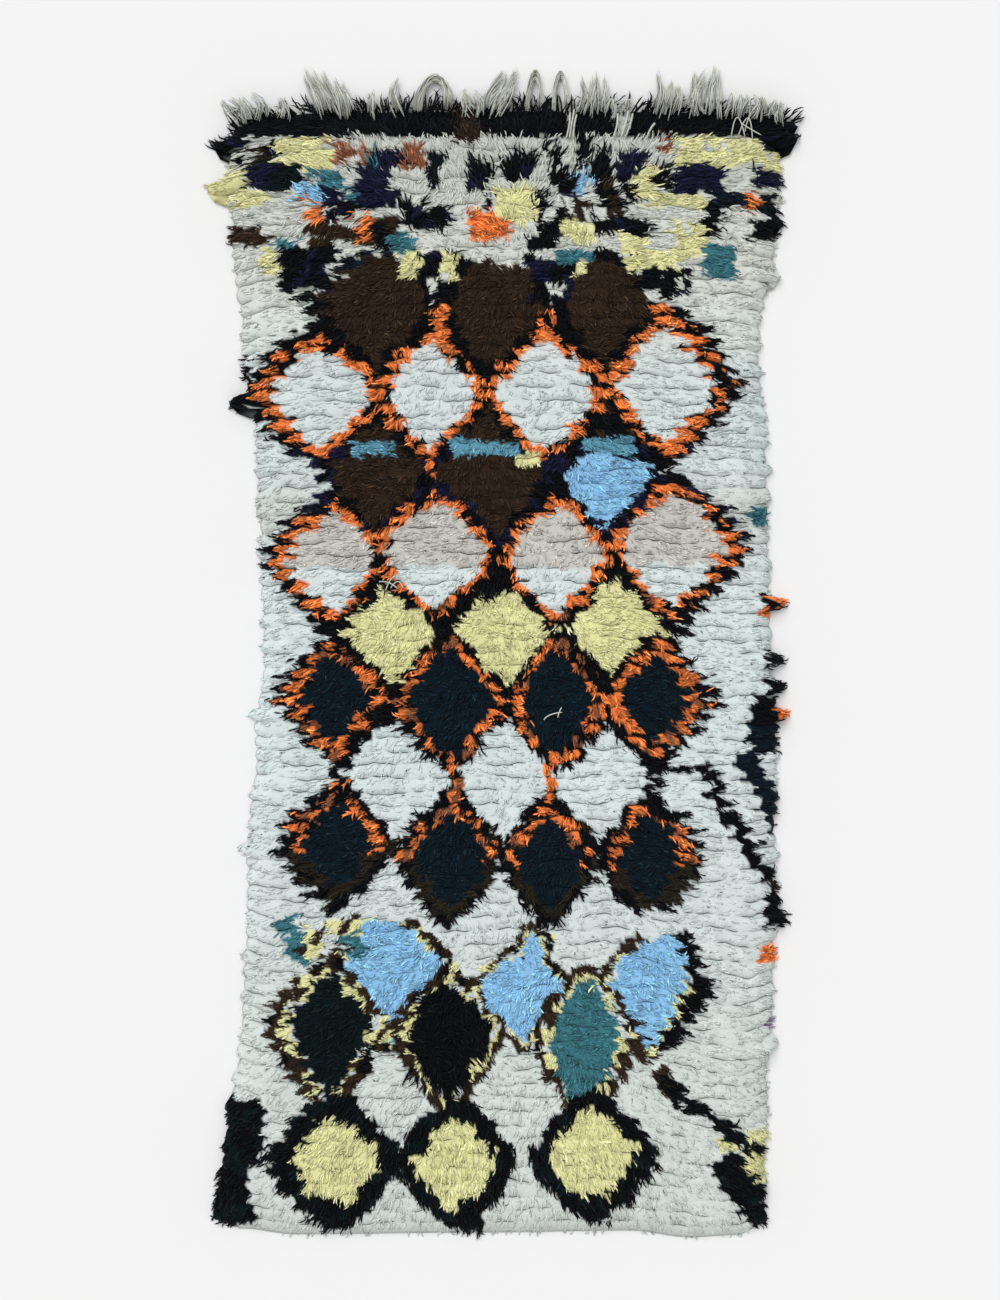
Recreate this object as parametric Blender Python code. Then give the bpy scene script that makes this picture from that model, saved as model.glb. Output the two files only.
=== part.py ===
"""Long-pile diamond runner lying flat: a hand-knotted shag rug with a looped warp fringe at its head.

Metres. X runs across the rug, +Y towards its fringed head, +Z up. The floor is Z = 0 and the
origin is the middle of the floor under the whole rug. The pile is one lumpy slab whose rows of
knots stand up as ridges. Locks of yarn splay from its rim, and the fringe is a strip with locks.
"""

import math
import random
from bisect import bisect_right
from collections import namedtuple

import bmesh
import bpy

# Driving dimensions
RUG_LENGTH = 1.776
ROW_PITCH = 0.022
COLUMN_COUNT = 20
RIM_COLUMN = 0.024
FURROW_TOP = 0.022
RIDGE_RISE = 0.008
RIM_TOP = 0.014
SHOULDER = 0.050
LUMP = 0.0035
FURROW_WANDER = 0.0022
LOCK_REACH = 0.013
END_LOCK_REACH = 0.008
STRIP_DEPTH = 0.011
STRIP_THICKNESS = 0.005
STRIP_CLEARANCE = 0.0004
LUMP_SEED = 7

ROW_COUNT = round(RUG_LENGTH / ROW_PITCH)

# How far the rug's two sides lie from its centre line, at stations measured from the head.
Side = namedtuple("Side", "station left right")
SIDES = (
    Side(0.000, 0.423, 0.452),
    Side(0.075, 0.432, 0.438),
    Side(0.200, 0.423, 0.425),
    Side(0.345, 0.408, 0.398),
    Side(0.520, 0.387, 0.411),
    Side(0.710, 0.379, 0.416),
    Side(0.850, 0.375, 0.419),
    Side(0.990, 0.386, 0.428),
    Side(1.165, 0.398, 0.425),
    Side(1.325, 0.404, 0.424),
    Side(1.485, 0.411, 0.413),
    Side(1.575, 0.424, 0.414),
    Side(1.675, 0.439, 0.407),
    Side(1.776, 0.455, 0.410),
)

# How far the two ends lie short of the nominal ends, at shares of the width from the left.
End = namedtuple("End", "share head foot")
ENDS = (
    End(0.00, 0.022, 0.020),
    End(0.05, 0.008, 0.006),
    End(0.14, 0.000, -0.003),
    End(0.50, -0.003, 0.000),
    End(0.76, -0.002, 0.003),
    End(0.87, 0.000, -0.008),
    End(0.95, 0.003, -0.004),
    End(1.00, 0.014, 0.014),
)

# The long locks that stand out of the even rim: where they are, how far either way, how long.
LongLock = namedtuple("LongLock", "side station spread reach")
LONG_LOCKS = (
    LongLock("left", 0.055, 0.024, 0.040),
    LongLock("left", 0.110, 0.020, 0.048),
    LongLock("left", 0.195, 0.014, 0.024),
    LongLock("left", 0.452, 0.026, 0.044),
    LongLock("left", 0.700, 0.020, 0.020),
    LongLock("left", 0.960, 0.016, 0.024),
    LongLock("left", 1.175, 0.016, 0.024),
    LongLock("left", 1.600, 0.040, 0.020),
    LongLock("right", 0.025, 0.026, 0.044),
    LongLock("right", 0.170, 0.018, 0.022),
    LongLock("right", 0.255, 0.012, 0.028),
    LongLock("right", 0.560, 0.030, 0.018),
    LongLock("right", 0.785, 0.020, 0.036),
    LongLock("right", 0.872, 0.014, 0.032),
    LongLock("right", 0.910, 0.012, 0.030),
    LongLock("right", 0.964, 0.018, 0.040),
    LongLock("right", 1.015, 0.016, 0.026),
    LongLock("right", 1.120, 0.018, 0.022),
    LongLock("right", 1.262, 0.026, 0.034),
    LongLock("right", 1.340, 0.016, 0.022),
    LongLock("right", 1.462, 0.014, 0.026),
    LongLock("right", 1.715, 0.030, 0.018),
)

# The tufts of the fringe: middle and width across the head, reach, sideways lean, locks in each.
Tuft = namedtuple("Tuft", "across width reach lean locks")
TUFTS = (
    Tuft(-0.400, 0.036, 0.030, -0.012, 3),
    Tuft(-0.362, 0.016, 0.022, -0.004, 1),
    Tuft(-0.285, 0.036, 0.062, -0.016, 3),
    Tuft(-0.248, 0.022, 0.044, -0.010, 2),
    Tuft(-0.212, 0.014, 0.028, 0.000, 1),
    Tuft(-0.170, 0.014, 0.055, 0.000, 1),
    Tuft(-0.118, 0.062, 0.048, 0.002, 5),
    Tuft(-0.052, 0.032, 0.030, 0.000, 3),
    Tuft(-0.004, 0.046, 0.060, 0.012, 4),
    Tuft(0.045, 0.018, 0.054, 0.003, 1),
    Tuft(0.085, 0.024, 0.054, 0.003, 2),
    Tuft(0.142, 0.050, 0.048, 0.004, 4),
    Tuft(0.190, 0.016, 0.018, 0.000, 1),
    Tuft(0.244, 0.018, 0.050, 0.002, 2),
    Tuft(0.272, 0.022, 0.044, 0.006, 2),
    Tuft(0.316, 0.048, 0.062, 0.008, 4),
    Tuft(0.414, 0.052, 0.032, 0.006, 4),
)

# A lock's rings from root to tip, as shares of its reach, its width and its height.
Ring = namedtuple("Ring", "reach width height")
LOCK_RINGS = (Ring(0.55, 0.82, 0.72), Ring(1.0, 0.34, 0.26))


def smooth(share):
    """0 to 1 with level ends."""
    share = min(1.0, max(0.0, share))
    return share * share * (3 - 2 * share)


def read_table(table, key, value, at):
    """The table's value at a place, eased between its rows."""
    keys = [getattr(row, key) for row in table]
    right = min(max(bisect_right(keys, at), 1), len(table) - 1)
    before, after = table[right - 1], table[right]
    share = smooth((at - keys[right - 1]) / (keys[right] - keys[right - 1]))
    return getattr(before, value) * (1 - share) + getattr(after, value) * share


def plan_point(share, station):
    """X and Y of the place at this share of the width, this far down from the head."""
    left = read_table(SIDES, "station", "left", station)
    right = read_table(SIDES, "station", "right", station)
    head = read_table(ENDS, "share", "head", share)
    foot = read_table(ENDS, "share", "foot", share)
    down = station / RUG_LENGTH
    y = RUG_LENGTH / 2 - station - head * (1 - down) + foot * down
    return -left + share * (left + right), y


def column_share(column):
    """A column's share of the width: a narrow column at either rim and even ones between."""
    if column in (0, COLUMN_COUNT):
        return column / COLUMN_COUNT
    return RIM_COLUMN + (column - 1) / (COLUMN_COUNT - 2) * (1 - 2 * RIM_COLUMN)


def furrow_wander(share, row):
    """How far a furrow strays up or down along its length."""
    return FURROW_WANDER * math.sin(17 * share + 2.3 * row) * math.sin(math.pi * share)


def pile_height(share, station, on_ridge, chance):
    """Height of the pile's surface: a crowned slab with ridges, swells and chance lumps."""
    left, right = (read_table(SIDES, "station", side, station) for side in ("left", "right"))
    width = left + right
    inset = min(share * width, (1 - share) * width, station, RUG_LENGTH - station)
    crown = smooth(inset / SHOULDER)
    swell = math.sin(9.0 * share + 4.1 * station) * math.sin(6.3 * station + 1.7)
    full = FURROW_TOP + LUMP * (0.5 * swell + chance)
    return RIM_TOP + (full - RIM_TOP) * crown + (RIDGE_RISE if on_ridge else 0.0)


def pile_lines(mesh, chances):
    """The slab's rows of points: a furrow line, a ridge line, a furrow line, and so on."""
    lines = []
    for step in range(2 * ROW_COUNT + 1):
        on_ridge = step % 2 == 1
        station = step / (2 * ROW_COUNT) * RUG_LENGTH
        line = []
        for column in range(COLUMN_COUNT + 1):
            if on_ridge and column in (0, COLUMN_COUNT):
                line.append(None)
                continue
            share = column_share(column)
            x, y = plan_point(share, station)
            inner = 0 < step < 2 * ROW_COUNT
            y += furrow_wander(share, step // 2) if inner else 0.0
            z = pile_height(share, station, on_ridge, chances.uniform(-0.5, 0.5))
            line.append(mesh.verts.new((x, y, z)))
        lines.append(line)
    return lines


def add_pile_faces(mesh, lines):
    """Quads over each row's two slopes, and a five-sided face where a row meets the rim."""
    for row in range(ROW_COUNT):
        upper, ridge, lower = lines[2 * row : 2 * row + 3]
        for column in range(1, COLUMN_COUNT - 1):
            mesh.faces.new((upper[column], ridge[column], ridge[column + 1], upper[column + 1]))
            mesh.faces.new((ridge[column], lower[column], lower[column + 1], ridge[column + 1]))
        mesh.faces.new((upper[0], lower[0], lower[1], ridge[1], upper[1]))
        mesh.faces.new((upper[-1], upper[-2], ridge[-2], lower[-2], lower[-1]))


def add_walls(mesh, rim):
    """A low wall from each stretch of the rim down to the floor, and the floor face."""
    feet = [mesh.verts.new((point.co.x, point.co.y, 0.0)) for point in rim]
    walls = []
    for here in range(len(rim)):
        after = (here + 1) % len(rim)
        walls.append(mesh.faces.new((rim[here], feet[here], feet[after], rim[after])))
    mesh.faces.new(feet[::-1])
    return walls


def grow_lock(mesh, wall, reach, lean):
    """Draws a wall face out into a tapered lock of yarn that lies on the floor."""
    middle = wall.calc_center_median()
    out = wall.normal.copy()
    out.z = 0.0
    out.normalize()
    along = out.cross((0.0, 0.0, 1.0))
    face = wall
    roots = [corner.co.copy() for corner in wall.verts]
    for ring in LOCK_RINGS:
        face = bmesh.ops.extrude_discrete_faces(mesh, faces=[face])["faces"][0]
        shift = out * (reach * ring.reach) + along * (lean * ring.reach**2)
        for corner, root in zip(face.verts, roots, strict=True):
            place = middle + (root - middle) * ring.width + shift
            corner.co = (place.x, place.y, root.z * ring.height)


def side_reach(side, station, chances):
    """How far a lock on this side reaches, at this station."""
    reach = LOCK_REACH * chances.uniform(0.5, 1.1)
    for lock in LONG_LOCKS:
        if lock.side == side:
            nearness = 1 - abs(station - lock.station) / lock.spread
            reach = max(reach, lock.reach * smooth(nearness) * chances.uniform(0.9, 1.0))
    return reach


def wool(name, colour, roughness):
    """A plain woollen material."""
    material = bpy.data.materials.new(name)
    material.use_nodes = True
    shader = material.node_tree.nodes["Principled BSDF"]
    shader.inputs["Base Color"].default_value = (*colour, 1.0)
    shader.inputs["Roughness"].default_value = roughness
    shader.inputs["Metallic"].default_value = 0.0
    return material


def add_object(name, mesh, material):
    """Puts a finished mesh into the scene under its node's name."""
    data = bpy.data.meshes.new(name)
    mesh.to_mesh(data)
    mesh.free()
    data.materials.append(material)
    made = bpy.data.objects.new(name, data)
    bpy.context.scene.collection.objects.link(made)
    return made


def shag_rug():
    """The knotted rug: ridged pile above, flat below, with locks round its two sides and foot."""
    mesh = bmesh.new()
    chances = random.Random(LUMP_SEED)
    lines = pile_lines(mesh, chances)
    add_pile_faces(mesh, lines)
    furrows = lines[::2]
    left = [line[0] for line in furrows]
    right = [line[-1] for line in furrows]
    head = furrows[0]
    foot = furrows[-1]
    rim = left + foot[1:-1] + right[::-1] + head[-2:0:-1]
    walls = add_walls(mesh, rim)
    mesh.normal_update()
    foot_start = ROW_COUNT
    right_start = foot_start + COLUMN_COUNT
    head_start = right_start + ROW_COUNT
    for number, wall in enumerate(walls[:head_start]):
        lean = chances.uniform(-0.002, 0.002)
        if number < foot_start:
            station = (number + 0.5) * ROW_PITCH
            grow_lock(mesh, wall, side_reach("left", station, chances), lean)
        elif number < right_start:
            grow_lock(mesh, wall, END_LOCK_REACH * chances.uniform(0.6, 1.2), lean)
        else:
            station = (head_start - number - 0.5) * ROW_PITCH
            grow_lock(mesh, wall, side_reach("right", station, chances), lean)
    return add_object("shag_rug", mesh, wool("pile_wool", (0.62, 0.66, 0.62), 0.95))


def head_line(across):
    """Y of the rug's head edge, which runs straight from column to column."""
    places = [plan_point(column_share(column), 0.0) for column in range(COLUMN_COUNT + 1)]
    after = bisect_right([x for x, _ in places], across)
    (start_x, start_y), (end_x, end_y) = places[after - 1 : after + 1]
    return start_y + (end_y - start_y) * (across - start_x) / (end_x - start_x)


def fringe_stops():
    """The strip's stops across the head, and each stretch's reach and lean. A gap has none."""
    stops = []
    stretches = []
    for tuft in TUFTS:
        start = tuft.across - tuft.width / 2
        if stops:
            stretches.append(None)
        stops.append(start)
        for lock in range(tuft.locks):
            place = (lock + 0.5) / tuft.locks
            reach = tuft.reach * (0.82 + 0.18 * math.sin(math.pi * place + lock))
            stretches.append((reach, tuft.lean))
            stops.append(start + tuft.width * (lock + 1) / tuft.locks)
    return stops, stretches


def warp_fringe():
    """The warp fringe: a narrow strip along the rug's head, with its tufts of yarn as locks."""
    mesh = bmesh.new()
    stops, stretches = fringe_stops()
    columns = [plan_point(column_share(column), 0.0)[0] for column in range(COLUMN_COUNT + 1)]
    back_stops = [stops[0], *(x for x in columns if stops[0] < x < stops[-1]), stops[-1]]
    places = [(across, head_line(across) + STRIP_CLEARANCE) for across in back_stops]
    places += [(x, head_line(x) + STRIP_CLEARANCE + STRIP_DEPTH) for x in reversed(stops)]
    rim = [mesh.verts.new((x, y, STRIP_THICKNESS)) for x, y in places]
    mesh.faces.new(rim)
    walls = add_walls(mesh, rim)
    mesh.normal_update()
    front_walls = walls[len(back_stops) : -1]
    for wall, stretch in zip(front_walls, reversed(stretches), strict=True):
        if stretch:
            reach, lean = stretch
            grow_lock(mesh, wall, reach, lean)
    return add_object("warp_fringe", mesh, wool("warp_wool", (0.55, 0.57, 0.52), 0.9))


def centre_on_floor(parts):
    """Moves the parts together, so that the origin is under the middle of their common box."""
    places = [corner.co for part in parts for corner in part.data.vertices]
    middle_x = (min(p.x for p in places) + max(p.x for p in places)) / 2
    middle_y = (min(p.y for p in places) + max(p.y for p in places)) / 2
    for part in parts:
        for corner in part.data.vertices:
            corner.co.x -= middle_x
            corner.co.y -= middle_y


def main():
    for old in list(bpy.data.objects):
        bpy.data.objects.remove(old, do_unlink=True)
    centre_on_floor([shag_rug(), warp_fringe()])


main()
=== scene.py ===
"""Long-pile diamond runner: looks, stage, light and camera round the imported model.

Metres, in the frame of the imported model: X across the rug, +Y towards the fringed head, +Z up.
The pile is a bed of matted wool under many yarn ends. Each end is a tapered stroke that is combed
outwards from the middle of the rug, and takes the yarn that the chart shows where it lies. The
chart is in centimetres: across from the centre line and down from the head of the rug. The
patterns in it are lozenges, patches and strokes, and every chance draw is seeded.
"""

import functools
from collections import namedtuple
from types import SimpleNamespace

import bpy
import numpy as np
from bpy.props import FloatProperty, FloatVectorProperty, PointerProperty
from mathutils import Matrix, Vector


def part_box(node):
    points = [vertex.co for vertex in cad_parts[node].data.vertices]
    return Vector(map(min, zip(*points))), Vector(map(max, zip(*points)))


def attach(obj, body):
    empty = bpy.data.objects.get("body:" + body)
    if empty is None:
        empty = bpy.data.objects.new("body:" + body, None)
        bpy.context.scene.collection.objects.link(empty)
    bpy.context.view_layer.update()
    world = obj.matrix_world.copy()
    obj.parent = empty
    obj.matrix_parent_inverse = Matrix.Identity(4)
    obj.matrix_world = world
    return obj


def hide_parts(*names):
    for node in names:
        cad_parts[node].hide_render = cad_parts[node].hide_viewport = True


bl_info = {
    "name": "Shag diamond runner",
    "version": (1, 0, 0),
    "blender": (4, 5, 0),
    "location": "3D View > Sidebar > Shag runner",
    "description": "Builds a hand-knotted shag runner with its pile, ground weave and warp fringe",
    "category": "Add Mesh",
}

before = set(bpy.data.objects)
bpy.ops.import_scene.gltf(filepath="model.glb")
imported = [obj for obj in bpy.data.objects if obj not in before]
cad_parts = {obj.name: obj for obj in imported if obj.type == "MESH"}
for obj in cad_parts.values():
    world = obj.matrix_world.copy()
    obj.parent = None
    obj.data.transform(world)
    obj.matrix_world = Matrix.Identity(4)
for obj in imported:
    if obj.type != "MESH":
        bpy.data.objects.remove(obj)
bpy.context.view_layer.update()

# Where the tables' centre line and head lie in the frame
CENTRE_X = -0.0049
HEAD_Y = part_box("shag_rug")[1].y - 0.003

RUG_LENGTH = 1.776
ROW_PITCH = 0.022
ROW_COUNT = round(RUG_LENGTH / ROW_PITCH)
CM = 0.01

# How far the rug's two sides lie from its centre line, at stations measured from the head.
Side = namedtuple("Side", "station left right")
SIDES = (
    Side(0.000, 0.423, 0.452),
    Side(0.045, 0.426, 0.430),
    Side(0.075, 0.432, 0.434),
    Side(0.200, 0.423, 0.425),
    Side(0.345, 0.408, 0.398),
    Side(0.520, 0.387, 0.411),
    Side(0.710, 0.379, 0.416),
    Side(0.850, 0.375, 0.419),
    Side(0.990, 0.386, 0.428),
    Side(1.165, 0.398, 0.425),
    Side(1.325, 0.404, 0.424),
    Side(1.485, 0.411, 0.413),
    Side(1.575, 0.424, 0.414),
    Side(1.675, 0.439, 0.407),
    Side(1.776, 0.455, 0.410),
)

# How far the two ends lie short of the nominal ends, at shares of the width from the left.
End = namedtuple("End", "share head foot")
ENDS = (
    End(0.00, 0.022, 0.020),
    End(0.05, 0.008, 0.006),
    End(0.14, 0.000, -0.003),
    End(0.50, -0.003, 0.000),
    End(0.76, -0.002, 0.003),
    End(0.87, 0.000, -0.008),
    End(0.95, 0.003, -0.004),
    End(1.00, 0.014, 0.014),
)

# The long locks that stand out of the even rim: where they are, how far either way, how long.
LongLock = namedtuple("LongLock", "side station spread reach")
LONG_LOCKS = (
    LongLock("left", 0.033, 0.021, 0.036),
    LongLock("left", 0.095, 0.021, 0.046),
    LongLock("left", 0.195, 0.014, 0.024),
    LongLock("left", 0.452, 0.026, 0.044),
    LongLock("left", 0.700, 0.020, 0.020),
    LongLock("left", 0.960, 0.016, 0.024),
    LongLock("left", 1.175, 0.016, 0.024),
    LongLock("left", 1.600, 0.040, 0.020),
    LongLock("right", 0.025, 0.026, 0.044),
    LongLock("right", 0.170, 0.018, 0.022),
    LongLock("right", 0.255, 0.012, 0.028),
    LongLock("right", 0.560, 0.030, 0.018),
    LongLock("right", 0.785, 0.020, 0.036),
    LongLock("right", 0.872, 0.014, 0.032),
    LongLock("right", 0.910, 0.012, 0.030),
    LongLock("right", 0.964, 0.018, 0.040),
    LongLock("right", 1.015, 0.016, 0.026),
    LongLock("right", 1.120, 0.018, 0.022),
    LongLock("right", 1.262, 0.046, 0.027),
    LongLock("right", 1.340, 0.016, 0.022),
    LongLock("right", 1.462, 0.014, 0.026),
    LongLock("right", 1.715, 0.030, 0.018),
)

# The tufts of the fringe: middle and width across the head, reach, sideways lean, how many locks
# each is gathered into, and whether its yarns turn back as a loop.
Tuft = namedtuple("Tuft", "across width reach lean locks looped")
TUFTS = (
    Tuft(-0.422, 0.026, 0.024, -0.020, 2, False),
    Tuft(-0.392, 0.032, 0.032, -0.016, 2, False),
    Tuft(-0.350, 0.018, 0.028, -0.008, 1, False),
    Tuft(-0.276, 0.042, 0.064, -0.028, 3, False),
    Tuft(-0.248, 0.020, 0.050, -0.012, 2, False),
    Tuft(-0.208, 0.010, 0.032, 0.000, 1, False),
    Tuft(-0.165, 0.014, 0.057, 0.000, 1, False),
    Tuft(-0.112, 0.064, 0.052, 0.004, 4, True),
    Tuft(-0.048, 0.032, 0.034, -0.004, 3, False),
    Tuft(-0.014, 0.036, 0.064, 0.024, 4, False),
    Tuft(0.047, 0.024, 0.057, 0.004, 2, True),
    Tuft(0.089, 0.024, 0.057, 0.002, 2, True),
    Tuft(0.138, 0.046, 0.054, 0.006, 4, False),
    Tuft(0.178, 0.032, 0.020, 0.004, 2, False),
    Tuft(0.243, 0.014, 0.057, 0.002, 1, False),
    Tuft(0.264, 0.026, 0.048, 0.012, 2, False),
    Tuft(0.316, 0.056, 0.066, 0.012, 4, False),
    Tuft(0.383, 0.066, 0.028, 0.002, 5, False),
    Tuft(0.432, 0.024, 0.020, 0.004, 2, False),
)

# Yarns that strayed over the pile: half their thickness in metres, and the three places in cm
# through which each runs in an arc.
FINE = 0.0010
STOUT = 0.0016
Thread = namedtuple("Thread", "girth across down by_across by_down to_across to_down")
THREADS = (
    Thread(FINE, 35.9, 4.7, 36.9, 1.4, 38.2, 4.9),
    Thread(FINE, 37.0, 4.4, 38.6, 1.5, 39.3, 5.3),
    Thread(FINE, 38.1, 3.6, 38.5, 1.9, 39.2, 0.4),
    Thread(FINE, 37.6, 2.2, 38.4, 2.9, 40.8, 4.2),
    Thread(STOUT, 9.9, 4.6, 10.4, 2.4, 10.5, 0.4),
    Thread(STOUT, 10.4, 4.6, 10.8, 2.2, 11.2, 0.0),
    Thread(STOUT, 11.0, 4.6, 11.2, 2.4, 11.6, 0.8),
    Thread(STOUT, 17.3, 4.4, 17.9, 2.6, 18.0, 0.6),
    Thread(STOUT, 18.6, 4.4, 19.3, 2.2, 19.7, 0.2),
    Thread(STOUT, 19.2, 4.4, 20.0, 2.4, 20.4, 0.6),
    Thread(STOUT, 22.6, 4.6, 23.2, 3.2, 24.0, 2.2),
    Thread(FINE, -18.6, 76.0, -17.2, 73.8, -15.4, 74.6),
    Thread(FINE, -17.8, 75.6, -16.6, 74.6, -15.8, 75.8),
    Thread(FINE, -19.6, 74.6, -18.0, 74.8, -16.6, 75.8),
    Thread(FINE, 6.4, 96.4, 7.4, 95.6, 9.4, 95.2),
    Thread(FINE, 8.6, 96.0, 8.8, 95.2, 9.2, 94.4),
)


def linear(red, green, blue):
    """A colour given as screen values from 0 to 255, as linear light."""
    screen = np.array((red, green, blue)) / 255
    low = screen / 12.92
    high = ((screen + 0.055) / 1.055) ** 2.4
    return tuple(np.where(screen <= 0.04045, low, high).tolist())


# The dyed yarns: colour of a lit end, ends to a knot, width and seen length of an end in mm,
# how deep the creases between rows are next to plain wool, how much of the colour is left at the
# roots under painted shade, and how far the ends stand off the bed of wool.
Yarn = namedtuple("Yarn", "name colour ends width length crease root sheen loft label")
YARNS = (
    Yarn("ivory", linear(222, 233, 233), 4, 3.2, 11, 1.0, 0.94, 0.12, 0.4, "Undyed field wool"),
    Yarn("ecru", linear(209, 207, 200), 6, 3.2, 11, 1.0, 0.90, 0.12, 0.6, "Warmer undyed wool"),
    Yarn("black", linear(5, 7, 13), 10, 3.0, 17, 0.5, 0.6, 0.02, 1.0, "Black outline wool"),
    Yarn("brown", linear(53, 38, 25), 11, 2.6, 13, 0.3, 0.45, 0.04, 1.0, "Dark brown wool"),
    Yarn("orange", linear(255, 138, 70), 11, 3.0, 15, 0.5, 0.45, 0.10, 1.2, "Orange wool"),
    Yarn("yellow", linear(236, 234, 173), 10, 3.0, 12, 0.6, 0.85, 0.15, 0.8, "Pale yellow wool"),
    Yarn("navy", linear(20, 24, 52), 10, 3.0, 14, 0.5, 0.6, 0.03, 1.0, "Navy wool"),
    Yarn("teal", linear(66, 126, 138), 10, 2.9, 12, 0.5, 0.7, 0.08, 0.9, "Teal wool"),
    Yarn("sky", linear(152, 206, 246), 10, 2.9, 12, 0.5, 0.75, 0.12, 0.9, "Sky blue wool"),
    Yarn("deep_teal", linear(7, 27, 38), 10, 2.7, 11, 0.3, 0.4, 0.03, 0.9, "Deep teal wool"),
    Yarn("deep_green", linear(5, 22, 26), 10, 2.7, 12, 0.3, 0.45, 0.03, 0.9, "Deep green wool"),
    Yarn("olive", linear(40, 35, 24), 10, 2.7, 16, 0.5, 0.6, 0.04, 1.0, "Dark olive wool"),
    Yarn("sea", linear(104, 164, 186), 10, 2.8, 12, 0.5, 0.7, 0.08, 0.9, "Sea blue wool"),
    Yarn("rust", linear(150, 92, 62), 9, 2.8, 14, 0.5, 0.6, 0.08, 1.0, "Rust wool"),
    Yarn("lilac", linear(176, 150, 190), 9, 2.8, 14, 0.5, 0.7, 0.08, 1.0, "Lilac wool"),
)
# What the field's wool turns towards where the table of the fleece says so
DULL_WOOL = linear(218, 219, 208)
YARN_NUMBER = {yarn.name: number for number, yarn in enumerate(YARNS)}

# The dark wool that shows between the lozenges, in the form of the patches further down.
Patch = namedtuple("Patch", "yarn left right top bottom")
BETWEEN = (
    Patch("black", -20, 17, 31, 48),
    Patch("black", -24, 21, 48, 110),
)

# A row of like lozenges. The inner outline may change its yarn below the middle. The rings are
# the widths of the two outlines, and full_up and full_down the bulge of the sides over and under
# the middle: 1 is straight, 2 is round.
Lozenge = namedtuple("Lozenge", "across down half_width up below")
Band = namedtuple(
    "Band", "fill inner inner_below inner_ring outer outer_ring full_up full_down lozenges"
)
# How far down the dark band at the head ends, the orange outlines begin and end, and the
# lozenges' sides become smoother, and where the warm wool of one row of lozenges ran out
BLACK_BAND = 4.0
ORANGE_BEGINS = 30.0
ORANGE_ENDS = 128.0
SMOOTHER_FROM = 126.0
WARM_WOOL_ENDS = 72.0
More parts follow.
